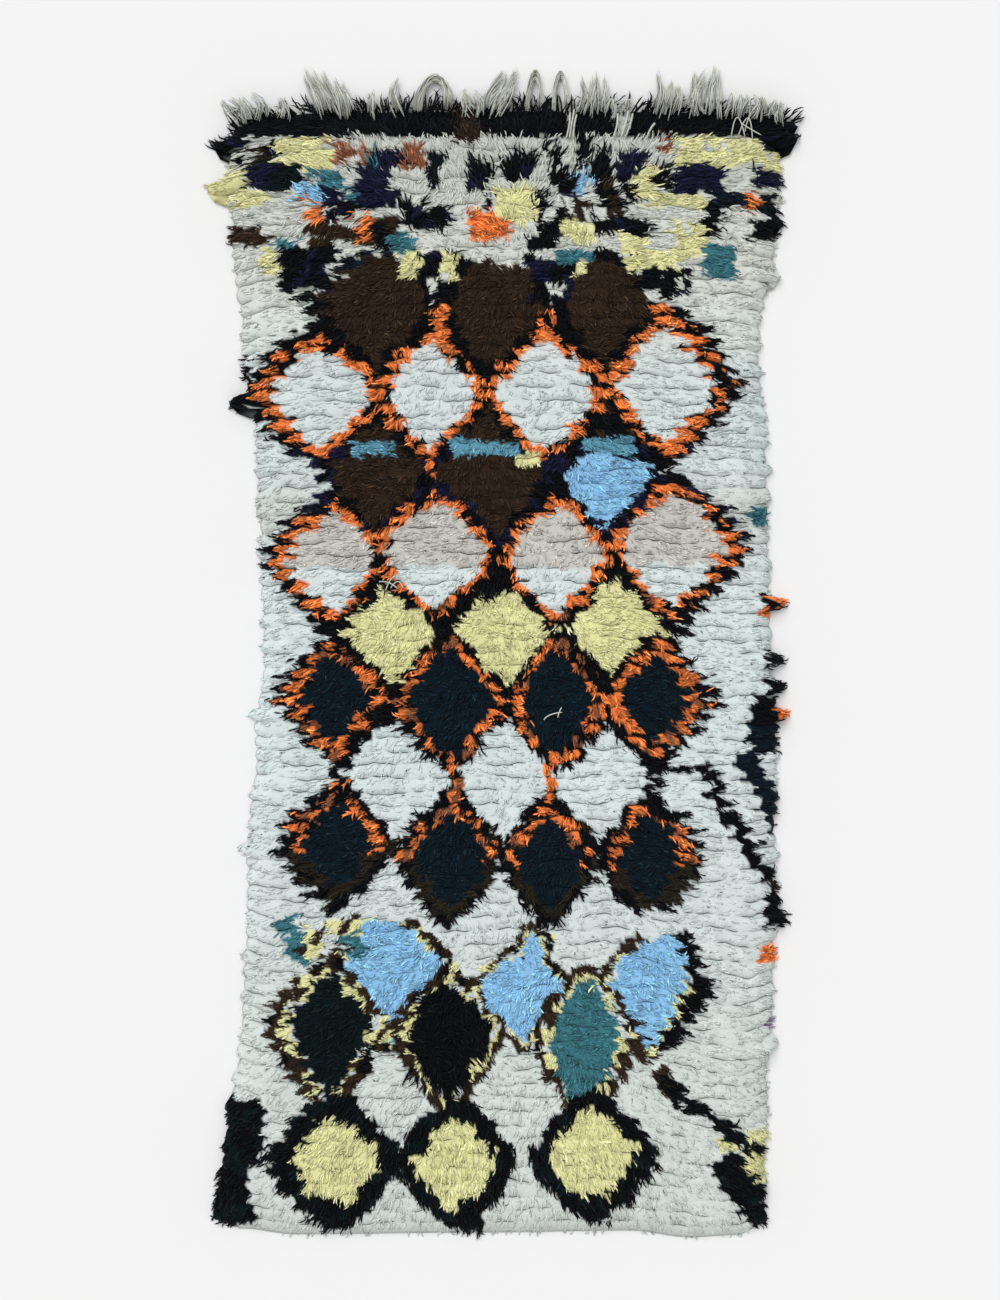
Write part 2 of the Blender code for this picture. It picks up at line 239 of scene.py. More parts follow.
# The share of the orange knots that black wool parts from the next row
PARTED_SHARE = 0.75
BANDS = (
    Band("brown", None, None, 0, "black", 2.0, 2.3, 1.25, (
        Lozenge(-20.4, 29.6, 8.2, 6.8, 12.8),
        Lozenge(-1.1, 30.5, 7.4, 6.6, 11.6),
        Lozenge(16.4, 30.5, 6.6, 6.8, 12.2),
    )),
    Band("brown", None, None, 0, "black", 1.8, 1.3, 1.15, (
        Lozenge(-19.8, 57.0, 7.0, 9.6, 10.6),
        Lozenge(-2.0, 57.2, 8.2, 9.6, 11.2),
    )),
    Band("sky", None, None, 0, "black", 1.6, 2.4, 1.5, (
        Lozenge(16.7, 57.6, 6.8, 3.2, 9.4),
    )),
    Band("yellow", None, None, 0, "black", 1.5, 1.5, 1.3, (
        Lozenge(-17.8, 83.2, 7.2, 7.9, 7.6),
        Lozenge(1.2, 82.6, 9.2, 6.6, 8.2),
        Lozenge(19.0, 82.2, 7.9, 8.6, 8.4),
    )),
    Band("ivory", None, None, 0, "black", 1.1, 1.35, 1.2, (
        Lozenge(-16.6, 104.8, 8.4, 8.6, 11.8),
        Lozenge(-0.2, 104.8, 7.4, 8.0, 12.0),
        Lozenge(15.3, 105.6, 7.8, 9.4, 10.8),
    )),
    Band("ivory", "orange", None, 1.5, "black", 1.3, 1.35, 1.2, (
        Lozenge(-29.1, 45.0, 8.2, 7.4, 8.4),
        Lozenge(-11.6, 45.1, 6.9, 8.2, 8.6),
        Lozenge(6.6, 45.1, 8.0, 8.8, 9.0),
        Lozenge(25.4, 44.3, 7.8, 10.0, 8.6),
    )),
    Band("ecru", "orange", None, 1.4, "black", 1.2, 1.3, 1.2, (
        Lozenge(-27.1, 71.5, 7.1, 7.8, 7.8),
        Lozenge(-10.8, 70.0, 8.4, 8.4, 8.7),
        Lozenge(8.2, 70.6, 7.4, 8.0, 8.8),
        Lozenge(26.6, 68.8, 8.4, 8.2, 9.8),
    )),
    Band("deep_teal", "orange", None, 1.6, "black", 1.0, 1.2, 1.2, (
        Lozenge(-26.4, 92.7, 5.9, 7.0, 7.2),
        Lozenge(-8.4, 93.2, 6.8, 8.4, 9.2),
        Lozenge(8.6, 93.6, 6.2, 8.8, 8.8),
        Lozenge(24.0, 93.0, 5.9, 7.2, 7.6),
    )),
    Band("deep_teal", "orange", "olive", 1.5, "black", 1.3, 1.35, 1.3, (
        Lozenge(-26.2, 116.2, 5.6, 6.4, 6.6),
        Lozenge(-8.2, 117.8, 5.8, 6.6, 8.2),
        Lozenge(7.2, 118.4, 5.2, 7.0, 7.8),
        Lozenge(23.0, 118.4, 4.9, 7.2, 6.8),
    )),
    Band("sky", "yellow", None, 0.7, "brown", 1.1, 1.2, 1.1, (
        Lozenge(-17.7, 135.4, 7.9, 8.0, 12.4),
        Lozenge(2.7, 138.2, 6.5, 4.6, 9.4),
        Lozenge(4.6, 132.0, 1.7, 2.6, 4.0),
        Lozenge(22.6, 137.8, 5.9, 6.8, 11.0),
    )),
    Band("deep_green", "yellow", None, 0.9, "brown", 1.7, 1.25, 1.2, (
        Lozenge(-27.6, 144.6, 6.6, 7.6, 11.4),
    )),
    Band("black", "yellow", None, 1.1, "brown", 1.5, 1.25, 1.2, (
        Lozenge(-8.6, 145.6, 6.6, 7.8, 11.4),
    )),
    Band("teal", "yellow", None, 1.0, "brown", 1.3, 1.25, 1.2, (
        Lozenge(12.8, 146.4, 6.0, 9.0, 12.6),
    )),
    Band("yellow", None, None, 0, "black", 2.8, 1.3, 1.35, (
        Lozenge(-26.4, 165.6, 6.8, 7.0, 8.2),
        Lozenge(-7.3, 166.0, 6.7, 7.2, 8.2),
        Lozenge(14.0, 165.2, 7.0, 7.6, 7.4),
    )),
)

# Outlines that were knotted of mixed yarns: which yarn turns into which, where, and how often.
Mix = namedtuple("Mix", "yarn into top bottom share")
MIXES = (
    Mix("yellow", "brown", 126, 156, 0.24),
    Mix("yellow", "ivory", 126, 156, 0.22),
    Mix("brown", "yellow", 126, 150, 0.10),
    Mix("brown", "black", 130, 160, 0.15),
    Mix("black", "navy", 53, 69, 0.45),
    Mix("black", "brown", 40, 52, 0.18),
    Mix("black", "olive", 112, 128, 0.15),
    Mix("black", "deep_green", 155, 176, 0.30),
    Mix("ivory", "black", 4.4, 9, 0.05),
    Mix("black", "ivory", 5, 29, 0.10),
    Mix("yellow", "ivory", 5, 28, 0.08),
    Mix("orange", "black", 30, 76, 0.14),
    Mix("orange", "black", 76, 126, 0.18),
    Mix("orange", "rust", 76, 126, 0.15),
    Mix("black", "navy", 4, 30, 0.12),
)

# Odd patches of left-over yarn, painted in this order over the bands.
PATCHES = (
    Patch("ivory", -50, 50, 4.2, 22.0),
    Patch("ivory", -50, -35, 22.0, 28.0),
    Patch("ivory", 26, 50, 22.0, 27.0),
    Patch("black", -50, 50, -9, 4.2),
    Patch("black", -50, -40.6, 4, 6.9),
    Patch("black", 41, 50, 4, 6.4),
    Patch("brown", -7, -3.5, -9, 5.4),
    Patch("ivory", 10, 11.5, 0.0, 5),
    Patch("ivory", 17.5, 20.2, 0.5, 5),
    Patch("olive", -39, -36.4, 5.6, 9.0),
    Patch("black", -38, -36, 4.6, 8.0),
    Patch("yellow", -35.4, -27.2, 4.4, 9.8),
    Patch("black", -44.6, -41.6, 6.9, 8.4),
    Patch("yellow", -50, -40.8, 9.0, 13.2),
    Patch("yellow", -43.5, -37.4, 13, 15.6),
    Patch("rust", -26.6, -24.4, 5.2, 8.6),
    Patch("rust", -23.0, -21.6, 6.0, 8.8),
    Patch("teal", -21.6, -20.4, 6.6, 9.0),
    Patch("black", -20.4, -18.4, 6.4, 15.0),
    Patch("navy", -18.4, -16.2, 6.6, 8.8),
    Patch("rust", -16.2, -12.4, 5.4, 9.4),
    Patch("deep_green", -12.0, -9.6, 6.8, 12.4),
    Patch("navy", -40.5, -36.2, 9.0, 12.6),
    Patch("deep_green", -36.4, -31.0, 8.8, 12.6),
    Patch("teal", -29.8, -25.4, 9.0, 12.6),
    Patch("sky", -33, -28.2, 12.0, 14.6),
    Patch("navy", -28.2, -26.2, 12.6, 15.0),
    Patch("black", -27.6, -20.4, 14.6, 17.6),
    Patch("teal", -24.8, -23.0, 12.2, 14.8),
    Patch("navy", -23.0, -17.2, 9.2, 15.2),
    Patch("orange", -30.8, -28.4, 14.6, 17.4),
    Patch("black", -16.2, -9.2, 14.2, 18.9),
    Patch("ivory", -12.6, -11.0, 14.0, 15.6),
    Patch("brown", -50, -37.4, 18.2, 21.4),
    Patch("brown", -30.4, -16.0, 17.4, 21.6),
    Patch("ivory", -26.2, -23.2, 16.6, 18.6),
    Patch("orange", -22.4, -20.8, 15.6, 20.4),
    Patch("black", -20.2, -18.0, 18.6, 23.0),
    Patch("teal", -36.2, -33.0, 20.4, 23.0),
    Patch("black", -35.4, -26.4, 21.6, 28.4),
    Patch("yellow", -38.4, -35.6, 22.2, 25.6),
    Patch("ivory", -26.6, -22.2, 20.8, 23.2),
    Patch("deep_teal", -26.0, -22.0, 23.2, 25.2),
    Patch("ivory", -28.0, -26.0, 24.0, 26.4),
    Patch("teal", -18.6, -14.4, 19.8, 22.4),
    Patch("yellow", -17.2, -13.2, 22.2, 26.6),
    Patch("black", -13.2, -7.0, 22.6, 30.0),
    Patch("yellow", -10.4, -7.2, 22.8, 26.8),
    Patch("ivory", -11.8, -10.4, 26.6, 29.4),
    Patch("ivory", -6.6, 3.6, 20.6, 24.2),
    Patch("black", -5.4, -2.0, 7.4, 12.8),
    Patch("black", -4.2, -1.6, 12.6, 15.4),
    Patch("orange", -5.1, 0.6, 16.0, 20.3),
    Patch("black", 0.2, 4.6, 7.2, 11.2),
    Patch("yellow", -1.0, 5.0, 12.2, 17.4),
    Patch("black", 6.8, 8.4, 5.0, 11.4),
    Patch("black", 8.4, 11.0, 9.6, 13.6),
    Patch("black", 11.2, 13.2, 6.2, 9.8),
    Patch("sky", 11.2, 13.4, 10.4, 13.4),
    Patch("black", 14.4, 17.2, 6.6, 16.6),
    Patch("brown", 16.0, 18.2, 11.0, 17.0),
    Patch("navy", 17.8, 22.0, 6.8, 11.0),
    Patch("black", 17.6, 20.4, 10.8, 15.6),
    Patch("yellow", 20.4, 24.2, 9.4, 13.6),
    Patch("black", 24.2, 26.0, 9.0, 12.4),
    Patch("rust", 24.8, 26.2, 4.6, 6.6),
    Patch("yellow", 26.6, 41.0, 4.4, 8.9),
    Patch("yellow", 40.0, 50, 6.4, 9.6),
    Patch("navy", 26.6, 34.4, 8.9, 13.0),
    Patch("navy", 39.4, 50, 9.6, 12.4),
    Patch("black", 5.0, 9.6, 13.4, 20.4),
    Patch("ivory", 6.4, 8.2, 15.4, 17.8),
    Patch("brown", 10.4, 13.4, 14.0, 17.4),
    Patch("yellow", 9.0, 14.6, 17.6, 21.0),
    Patch("black", 15.0, 23.0, 17.2, 19.6),
    Patch("yellow", 22.6, 31.4, 13.2, 15.4),
    Patch("deep_teal", 33.4, 38.2, 13.0, 16.0),
    Patch("orange", 38.2, 40.2, 12.8, 16.2),
    Patch("deep_green", 40.2, 43.0, 13.6, 15.6),
    Patch("black", 31.4, 34.0, 14.4, 20.2),
    Patch("black", 41.6, 50, 15.4, 18.0),
    Patch("black", 39.0, 50, 17.6, 20.6),
    Patch("yellow", 26.6, 31.4, 17.6, 23.4),
    Patch("yellow", 17.4, 22.2, 19.6, 22.6),
    Patch("yellow", 19.2, 28.0, 22.4, 25.6),
    Patch("teal", 31.2, 36.4, 21.6, 26.4),
    Patch("black", 3.4, 8.2, 19.8, 22.4),
    Patch("teal", 7.6, 14.4, 22.0, 24.4),
    Patch("black", 4.4, 11.0, 24.2, 30.0),
    Patch("navy", 4.6, 8.0, 23.6, 27.0),
    Patch("ivory", 6.6, 9.4, 27.2, 29.4),
    Patch("yellow", 11.0, 13.4, 24.4, 26.6),
    Patch("black", 20.8, 25.0, 25.4, 28.4),
    Patch("ivory", 22.2, 24.8, 28.0, 30.2),
    Patch("black", 25.2, 29.4, 25.0, 29.2),
    Patch("black", -50, -41.0, 38.5, 49.5),
    Patch("orange", -11.4, -8.8, 31.4, 37.2),
    Patch("orange", 5.6, 7.8, 31.4, 36.4),
    Patch("orange", 23.4, 26.2, 30.6, 34.6),
    Patch("orange", -12.2, -10.0, 55.6, 58.0),
    Patch("sea", -24.4, -17.4, 52.6, 54.8),
    Patch("sea", -8.2, 2.2, 52.2, 54.6),
    Patch("sea", 13.4, 20.6, 51.8, 54.2),
    Patch("yellow", 2, 6, 54, 56.5),
    Patch("teal", 38.5, 50, 63, 65.3),
    Patch("orange", 41, 50, 76.5, 80),
    Patch("black", 41.5, 50, 86, 88.5),
    Patch("black", 42, 50, 90, 92),
    Patch("black", 39.5, 50, 92.5, 97),
    Patch("orange", 43, 50, 94.5, 97),
    Patch("deep_teal", 39, 50, 97, 102),
    Patch("orange", -27.2, -25.4, 100.8, 108.8),
    Patch("orange", -8.6, -6.8, 101.8, 110.4),
    Patch("orange", 6.4, 8.0, 102.6, 110.8),
    Patch("black", 41.6, 50, 123, 129.6),
    Patch("orange", 40.5, 50, 132, 134.5),
    Patch("lilac", 42, 50, 144, 146.2),
    Patch("yellow", 34, 37, 162.5, 164.7),
    Patch("yellow", 38.5, 50, 161, 170),
    Patch("black", -50, -38.0, 156.3, 166.5),
    Patch("black", -50, -39.8, 166.5, 176.6),
    Patch("black", -28.8, -25.4, 172, 177.4),
    Patch("black", -7.6, -3.6, 172, 177.2),
    Patch("black", 13.4, 17.2, 171.5, 176.2),
    Patch("teal", -36, -32.5, 127.5, 130),
    Patch("teal", -34.5, -31, 130.5, 134.5),
    Patch("yellow", -32, -29, 129, 134),
    Patch("ivory", -24, -14, 124.5, 128.3),
    Patch("sky", -21.6, -15.6, 128.4, 134),
    Patch("yellow", -27.5, -21.8, 127.6, 130.4),
    Patch("teal", -25.2, -21.8, 130.2, 134),
    Patch("ivory", 21.5, 28, 126.5, 130.6),
    Patch("sky", 22.6, 28.2, 130.6, 136.5),
)

# Slanting strokes of the zigzags and the broken band towards the foot.
Stroke = namedtuple("Stroke", "yarn across down to_across to_down width")
STROKES = (
    Stroke("brown", 25.0, 152.2, 26.0, 154.6, 2.4),
    Stroke("black", 26.4, 153.6, 29.0, 157.0, 2.4),
    Stroke("black", 29.4, 157.0, 34.0, 159.8, 2.2),
    Stroke("black", 34.0, 160.0, 39.2, 164.2, 2.6),
    Stroke("black", 35.6, 167.4, 38.8, 171.2, 5.0),
    Stroke("black", 37.6, 170.4, 42.2, 177.5, 3.4),
    Stroke("black", 31.5, 103.5, 34.0, 107.5, 1.5),
    Stroke("black", 33.0, 108.3, 37.0, 113.2, 1.7),
    Stroke("black", 36.5, 112.6, 42.9, 122.5, 2.0),
    Stroke("deep_teal", 38.4, 103.0, 45.0, 113.8, 3.4),
    Stroke("black", 24.0, 103.8, 30.0, 104.2, 1.2),
    Stroke("black", 28.5, 131.0, 31.5, 140.0, 2.6),
    Stroke("black", 31.0, 140.0, 25.5, 148.0, 2.6),
)

# Where the undyed wool of the field turns warm or dull and where the creases between its rows
# stand open, by centimetres from the head.
Fleece = namedtuple("Fleece", "down warm bright open")
FLEECE = (
    Fleece(0, 0.80, 0.90, 1.00),
    Fleece(25, 0.75, 1.02, 0.90),
    Fleece(36, 0.45, 1.06, 0.75),
    Fleece(42, 0.05, 1.00, 0.85),
    Fleece(56, 0.05, 1.00, 0.75),
    Fleece(64, 0.50, 0.96, 0.85),
    Fleece(72, 0.05, 1.04, 0.80),
    Fleece(84, 0.00, 1.02, 0.70),
    Fleece(100, 0.00, 1.02, 0.80),
    Fleece(126, 0.18, 1.01, 0.70),
    Fleece(145, 0.35, 1.00, 0.60),
    Fleece(178, 0.45, 1.00, 0.45),
)

KNOTS_PER_ROW = 66
# The stops of a yarn end from root to tip, and its girth and its rise over the bed there
STROKE_STOPS = (0.0, 0.35, 0.75, 1.0)
STROKE_GIRTHS = (0.70, 1.0, 0.90)
STROKE_RISE = (-0.0022, 0.0007, 0.0019, 0.0010)
# Where along its length an end meets its own place
STROKE_MIDDLE = 0.36
# How far an end may lie from its knot, in knots across and in rows along
END_SPREAD = (0.62, 0.46)
# How much the ends of one knot turn together, and each by itself, where the comb is weak
KNOT_TURN = 0.34
OWN_TURN = 0.5
# The share of the ends that stray, and how much longer they are
STRAY_SHARE = 0.025
STRAY_LENGTH = 1.35
# The shaggy part at the head: how many more ends a knot of undyed wool has there, how far the
# yarns mix across the rug, as a share of its width, and how much longer the ends are
SHAGGY_ENDS = 3
SHAGGY_BLUR = 0.0040
SHAGGY_LENGTH = 0.55
# How high over the floor the first row's ends are held at the rug's head
HEAD_HEIGHT = 0.0150
BED_LINES_PER_ROW = (0.0, 0.05, 0.35, 0.65, 0.95)
BED_COLUMNS = 3 * KNOTS_PER_ROW + 1
# How far the rows draw their colours outwards near the sides, in cm
ROW_TONGUE = 1.6
# How far the lozenges' sides stand out in the middle of a row of knots, in cm
ROW_TOOTH = 1.5
# How far the rows sag at the right-hand side towards the foot, in metres
ROW_SAG = 0.026
# How far the three waves of a crease stray along the rug
WANDER_SIZES = (0.0022, 0.0020, 0.0009)
# How far in from the rim the bed of wool rounds off
BED_ROUNDING = 0.055
# How far in from the sides the pile is drawn out as tongues
TONGUE_DEPTH = 0.10
# How far in from a side, the head and the foot the pile is combed outwards
SIDE_COMB = 0.36
HEAD_COMB = 0.24
FOOT_COMB = 0.34
# How much the chance swirls turn the comb
SWIRL = 0.28
# Heights over the floor: the lowest yarn, the top of the ground weave, and where the bed of wool
# meets it, which is so far in from the bed's rim
LOWEST = 0.0004
GROUND_TOP = 0.0040
BED_UNDERSIDE = 0.0043
BED_TURNED_IN = 0.020
# The ground weave's thickness and its grid across, and the pitch of its ribs
GROUND_THICKNESS = 0.0026
GROUND_COLUMNS = 34
WEFT_PITCH = 0.0031
WARP_PITCH = 0.0046
PILE_SEED = 11
YARNS_PER_LOCK = 18
# The fringe: how high its yarns lie on the floor, how much higher at the head, and how far a yarn
# may lie over the others
FRINGE_LOW = 0.0024
FRINGE_RISE = 0.019
FRINGE_PILED = 0.0070
MOST_ENDS_IN_A_PIECE = 11500
# The stage: half the floor's side and its grey, the strength of the sky and of the lamp, the
# lamp's spread and turn, the camera's place over the rug, and how much of the rug's length the
# picture shows at the top of the pile
FLOOR_HALF = 8.0
FLOOR_GREY = 0.90
SKY_STRENGTH = 0.66
LAMP_STRENGTH = 1.45
LAMP_SPREAD = 0.7
LAMP_TURN = (-0.55, -0.45, 0.0)
CAMERA_PLACE = (-0.0103, 0.0047)
SENSOR_WIDTH = 36.0
PILE_TOP = 0.025
SHOWN_LENGTH = 2.054
BAKE_MAP = "OFBake"
YARN_MAP = "yarn"


def new_object(name, data):
    """A new object in the scene, from a mesh, a lamp or a camera."""
    made = bpy.data.objects.new(name, data)
    bpy.context.scene.collection.objects.link(made)
    return made


def smooth(share):
    """0 to 1 with level ends, over whole arrays."""
    share = np.clip(share, 0.0, 1.0)
    return share * share * (3 - 2 * share)


def read_table(table, key, value, at):
    """The table's value at many places, eased between its rows."""
    keys = np.array([getattr(row, key) for row in table])
    values = np.array([getattr(row, value) for row in table])
    after = np.clip(np.searchsorted(keys, at, side="right"), 1, len(table) - 1)
    share = smooth((at - keys[after - 1]) / (keys[after] - keys[after - 1]))
    return values[after - 1] * (1 - share) + values[after] * share


def half_widths(station):
    """How far the left and the right side lie from the centre line at each station."""
    return tuple(read_table(SIDES, "station", side, station) for side in ("left", "right"))


def plan(share, station):
    """X and Y of places on the rug: a share of its width from the left, and metres down from the
    head. The two sides and the two ends are blended over the whole rectangle."""
    left, right = half_widths(station)
    head = read_table(ENDS, "share", "head", share)
    foot = read_table(ENDS, "share", "foot", share)
    down = station / RUG_LENGTH
    y = HEAD_Y - station - head * (1 - down) + foot * down
    return CENTRE_X - left + share * (left + right), y


def swell(x, y, wavelength, seed):
    """Slow chance swells from -1 to 1: half the sum of four sine waves in chance directions,
    clipped."""
    chance = np.random.default_rng(seed)
    total = np.zeros_like(x)
    for angle, phase, pitch in chance.uniform(0, 1, (4, 3)):
        turn = 2 * np.pi * angle
        wave = (x * np.cos(turn) + y * np.sin(turn)) / (wavelength * (0.7 + 0.6 * pitch))
        total += np.sin(2 * np.pi * (wave + phase)) / 2
    return np.clip(total, -1, 1)


def lozenge_reach(lozenge, grown, band, across, down, tooth):
    """1 on the outline of a lozenge grown by so many centimetres, and less inside it. It is a
    superellipse: the powers of the two distances over the two half sizes are added. The tooth
    widens it in the middle of each row of knots."""
    grown = grown * (1 + 0.5 * smooth(np.abs(across) / 40))
    half_height = np.where(down < lozenge.down, lozenge.up, lozenge.below) + grown
    side = np.abs(across - lozenge.across) / (lozenge.half_width + grown + tooth)
    rise = np.abs(down - lozenge.down) / half_height
    full = np.where(down < lozenge.down, band.full_up, band.full_down)
    return side**full + rise**full


def paint_patches(yarn, patches, across, down):
    """Paints rectangles of yarn into the chart, in the order of their table."""
    for patch in patches:
        inside = (across > patch.left) & (across < patch.right)
        inside &= (down > patch.top) & (down < patch.bottom)
        yarn[inside] = YARN_NUMBER[patch.yarn]


def paint_band(yarn, band, across, down, tooth):
    """Paints a row of lozenges: the outer outlines, the inner outlines over them, then the
    fillings."""
    rings = (
        (band.outer, band.inner_ring + band.outer_ring),
        (band.inner, band.inner_ring),
        (band.fill, 0.0),
    )
    for colour, grown in rings:
        if colour is None:
            continue
        bite = tooth * (1.0 if grown else 0.5)
        for lozenge in band.lozenges:
            inside = lozenge_reach(lozenge, grown, band, across, down, bite) < 1
            yarn[inside] = YARN_NUMBER[colour]
            if colour == band.inner and band.inner_below:
                yarn[inside & (down > lozenge.down + 1)] = YARN_NUMBER[band.inner_below]


def paint_stroke(yarn, stroke, across, down):
    """Paints every place that lies within half the stroke's width of its line."""
    run = np.array((stroke.to_across - stroke.across, stroke.to_down - stroke.down))
    offset_across = across - stroke.across
    offset_down = down - stroke.down
    share = np.clip((offset_across * run[0] + offset_down * run[1]) / (run @ run), 0, 1)
    gap = np.hypot(offset_across - share * run[0], offset_down - share * run[1])
    yarn[gap < stroke.width / 2] = YARN_NUMBER[stroke.yarn]


def chart(across, down, tooth):
    """The yarn's number at each place in centimetres: ivory under bands, patches and strokes."""
    yarn = np.zeros(across.shape, int)
    paint_patches(yarn, BETWEEN, across, down)
    for band in BANDS:
        paint_band(yarn, band, across, down, tooth)
    yarn[(yarn == YARN_NUMBER["ecru"]) & (down > WARM_WOOL_ENDS)] = YARN_NUMBER["ivory"]
    paint_patches(yarn, PATCHES, across, down)
    for stroke in STROKES:
        paint_stroke(yarn, stroke, across, down)
    return yarn


def mixed(yarn, down, knot):
    """The chart's yarns with the odd knots of the mixed outlines put in."""
    mixing = yarn.copy()
    for mix, roll in zip(MIXES, habit().mix_roll, strict=True):
        turned = (yarn == YARN_NUMBER[mix.yarn]) & (down > mix.top) & (down < mix.bottom)
        turned &= roll[knot] < mix.share
        mixing[turned] = YARN_NUMBER[mix.into]
    return mixing


def yarn_at(share, station):
    """The yarn that shows at each place. The chart is read a little aside of the place: every row
    draws its colours outwards near the sides, lines waver, and each knot is off by a little."""
    held = habit()
    row, down_row = row_of(station)
    knot = knot_of(share, station)
    x, y, _ = lie(share, station)
    across = (x - CENTRE_X) / CM
    down = (HEAD_Y - y) / CM
    mid_row = 0.5 - np.abs(2 * down_row - 1)
    outward = np.sign(across) * smooth((np.abs(across) - 4) / 26)
    drawn = ROW_TONGUE * outward * mid_row
    aside = held.row_shift[row] + held.knot_aside[knot] + 0.5 * swell(x, y, 0.05, PILE_SEED + 9)
    below = held.knot_below[knot] + 0.4 * swell(x, y, 0.06, PILE_SEED + 10)
    tooth = ROW_TOOTH * mid_row * (0.6 + 0.8 * held.row_roll[row])
    tooth = tooth * (1 - 0.6 * smooth((down - SMOOTHER_FROM) / 10))
    yarn = chart(across - drawn + aside, down + below * smooth((down - BLACK_BAND) / 6), tooth)
    parted = (yarn == YARN_NUMBER["orange"]) & (down_row > 0.70)
    parted &= (down > ORANGE_BEGINS) & (down < ORANGE_ENDS)
    yarn[parted & (held.knot_roll[knot] < PARTED_SHARE)] = YARN_NUMBER["black"]
    return mixed(yarn, down, knot)


def rim_reach(side, sizes, chance):
    """How far past the ground weave the pile of each row reaches on one side."""
    station = (np.arange(ROW_COUNT) + 0.5) * ROW_PITCH
    reach = sizes.lock_reach * chance.uniform(0.5, 1.2, ROW_COUNT)
    for lock in LONG_LOCKS:
        if lock.side == side:
            nearness = smooth(1 - np.abs(station - lock.station) / lock.spread)
            reach = np.maximum(reach, (lock.reach - 0.001) * nearness)
    return reach


@functools.cache
def habit():
    """The chance traits of rows and of the creases between them, the same at every call."""
    chance = np.random.default_rng(PILE_SEED)
    sizes = bpy.context.scene.shag_runner
    creases = ROW_COUNT + 1
    knot_count = ROW_COUNT * KNOTS_PER_ROW
    return SimpleNamespace(
        reach_left=rim_reach("left", sizes, chance),
        reach_right=rim_reach("right", sizes, chance),
        pitch=chance.uniform((3, 7, 26), (6, 14, 40), (creases, 3)),
        phase=chance.uniform(0, 1, (creases, 3)),
        gap_pitch=chance.uniform(3, 11, creases),
        gap_phase=chance.uniform(0, 1, creases),
        knot_shift=chance.uniform(0, 1, ROW_COUNT),
        break_pitch=chance.uniform(16, 30, creases),
        break_phase=chance.uniform(0, 1, creases),
        row_shift=chance.uniform(-0.3, 0.3, ROW_COUNT),
        row_roll=chance.uniform(0, 1, ROW_COUNT),
        knot_roll=chance.uniform(0, 1, knot_count),
        knot_aside=chance.normal(0, 0.22, knot_count),
        knot_below=chance.normal(0, 0.18, knot_count),
        mix_roll=chance.uniform(0, 1, (len(MIXES), knot_count)),
        height=sizes.pile_height,
    )


def wander(crease, share):
    """How far a crease strays along the rug: three sine waves of its own across the width."""
    held = habit()
    turn = share[..., None] * held.pitch[crease] + held.phase[crease]
    return (np.sin(2 * np.pi * turn) * np.array(WANDER_SIZES)).sum(-1)


def row_of(station):
    """The row at a station, and how far down that row from 0 to 1."""
    row = np.clip(np.floor(station / ROW_PITCH + 1e-9).astype(int), 0, ROW_COUNT - 1)
    return row, np.clip(station / ROW_PITCH - row, 0, 1)


def tongues(row, down_row):
    """How far the tongue of pile of each row stands out at the left and at the right: most in the
    middle of the row, and less by the cube of the distance from there."""
    held = habit()
    shape = 1 - 0.6 * np.abs(2 * down_row - 1) ** 3
    return held.reach_left[row] * shape, held.reach_right[row] * shape


def lie(share, station):
    """Where the pile of a share and station lies, and how far in from the rim that is: the plan,
    with every row drawn out past the sides as a tongue, and the creases between rows straying."""
    row, down_row = row_of(station)
    x, y = plan(share, station)
    left, right = half_widths(station)
    out_left, out_right = tongues(row, down_row)
    x = x - out_left * (1 - smooth(share * (left + right) / TONGUE_DEPTH))
    x = x + out_right * (1 - smooth((1 - share) * (left + right) / TONGUE_DEPTH))
    inner = smooth(station / 0.03) * smooth((RUG_LENGTH - station) / 0.03)
    stray = (1 - down_row) * wander(row, share) + down_row * wander(row + 1, share)
    sag = ROW_SAG * smooth((share - 0.70) / 0.30) * smooth((station - 1.10) / 0.25)
    stray = stray - sag * smooth((RUG_LENGTH - station) / 0.22)
    margin = np.minimum.reduce((
        x - CENTRE_X + left + out_left,
        right + out_right - x + CENTRE_X,
        station + 0.001,
        RUG_LENGTH + 0.001 - station,
    ))
    return x, y + stray * inner, margin


def of_yarn(column, yarn):
    """A column of the table of yarns, read at each yarn's number."""
    return np.array([getattr(row, column) for row in YARNS])[yarn]


def bed_height(x, y, margin, share, station):
    """Height of the bed of wool: a quarter of an ellipse in from the rim, low lumps, a bulge for
    each knot, and creases between the rows that come and go along their length."""
    held = habit()
    row, down_row = row_of(station)
    inset = np.clip(margin / BED_ROUNDING, 0, 1)
    arch = np.sqrt(1 - (1 - inset) ** 2)
    lumps = 0.0014 * swell(x, y, 0.11, PILE_SEED + 4) + 0.0006 * swell(x, y, 0.035, PILE_SEED + 7)
    edge = np.abs(2 * down_row - 1)
    bulge = np.sin(2 * np.pi * (share * KNOTS_PER_ROW + held.knot_shift[row]))
    bulge = 0.0006 * bulge * (1 - edge**2)
    depth = of_yarn("crease", knots().yarn[knot_of(share, station)])
    crease = depth * (0.34 * crack(share, station) * edge**20 + 0.025 * edge**3)
    top = held.height - 0.003 + lumps + bulge
    return 0.0010 + (top - 0.0010) * arch * (1 - crease)


def crack(share, station):
    """How far the crease nearest to each place has opened, from 0 to 1: two sine waves across
    the width, of which only the crests are left."""
    held = habit()
    row, down_row = row_of(station)
    nearest = row + (down_row > 0.5)
    long = np.sin(2 * np.pi * (share * held.gap_pitch[nearest] + held.gap_phase[nearest]))
    short = np.sin(2 * np.pi * (share * held.break_pitch[nearest] + held.break_phase[nearest]))
    shut = 1 - read_table(FLEECE, "down", "open", 100 * station)
    return smooth((long + 0.8 * short + 1.0 - 1.6 * shut) / 1.2)


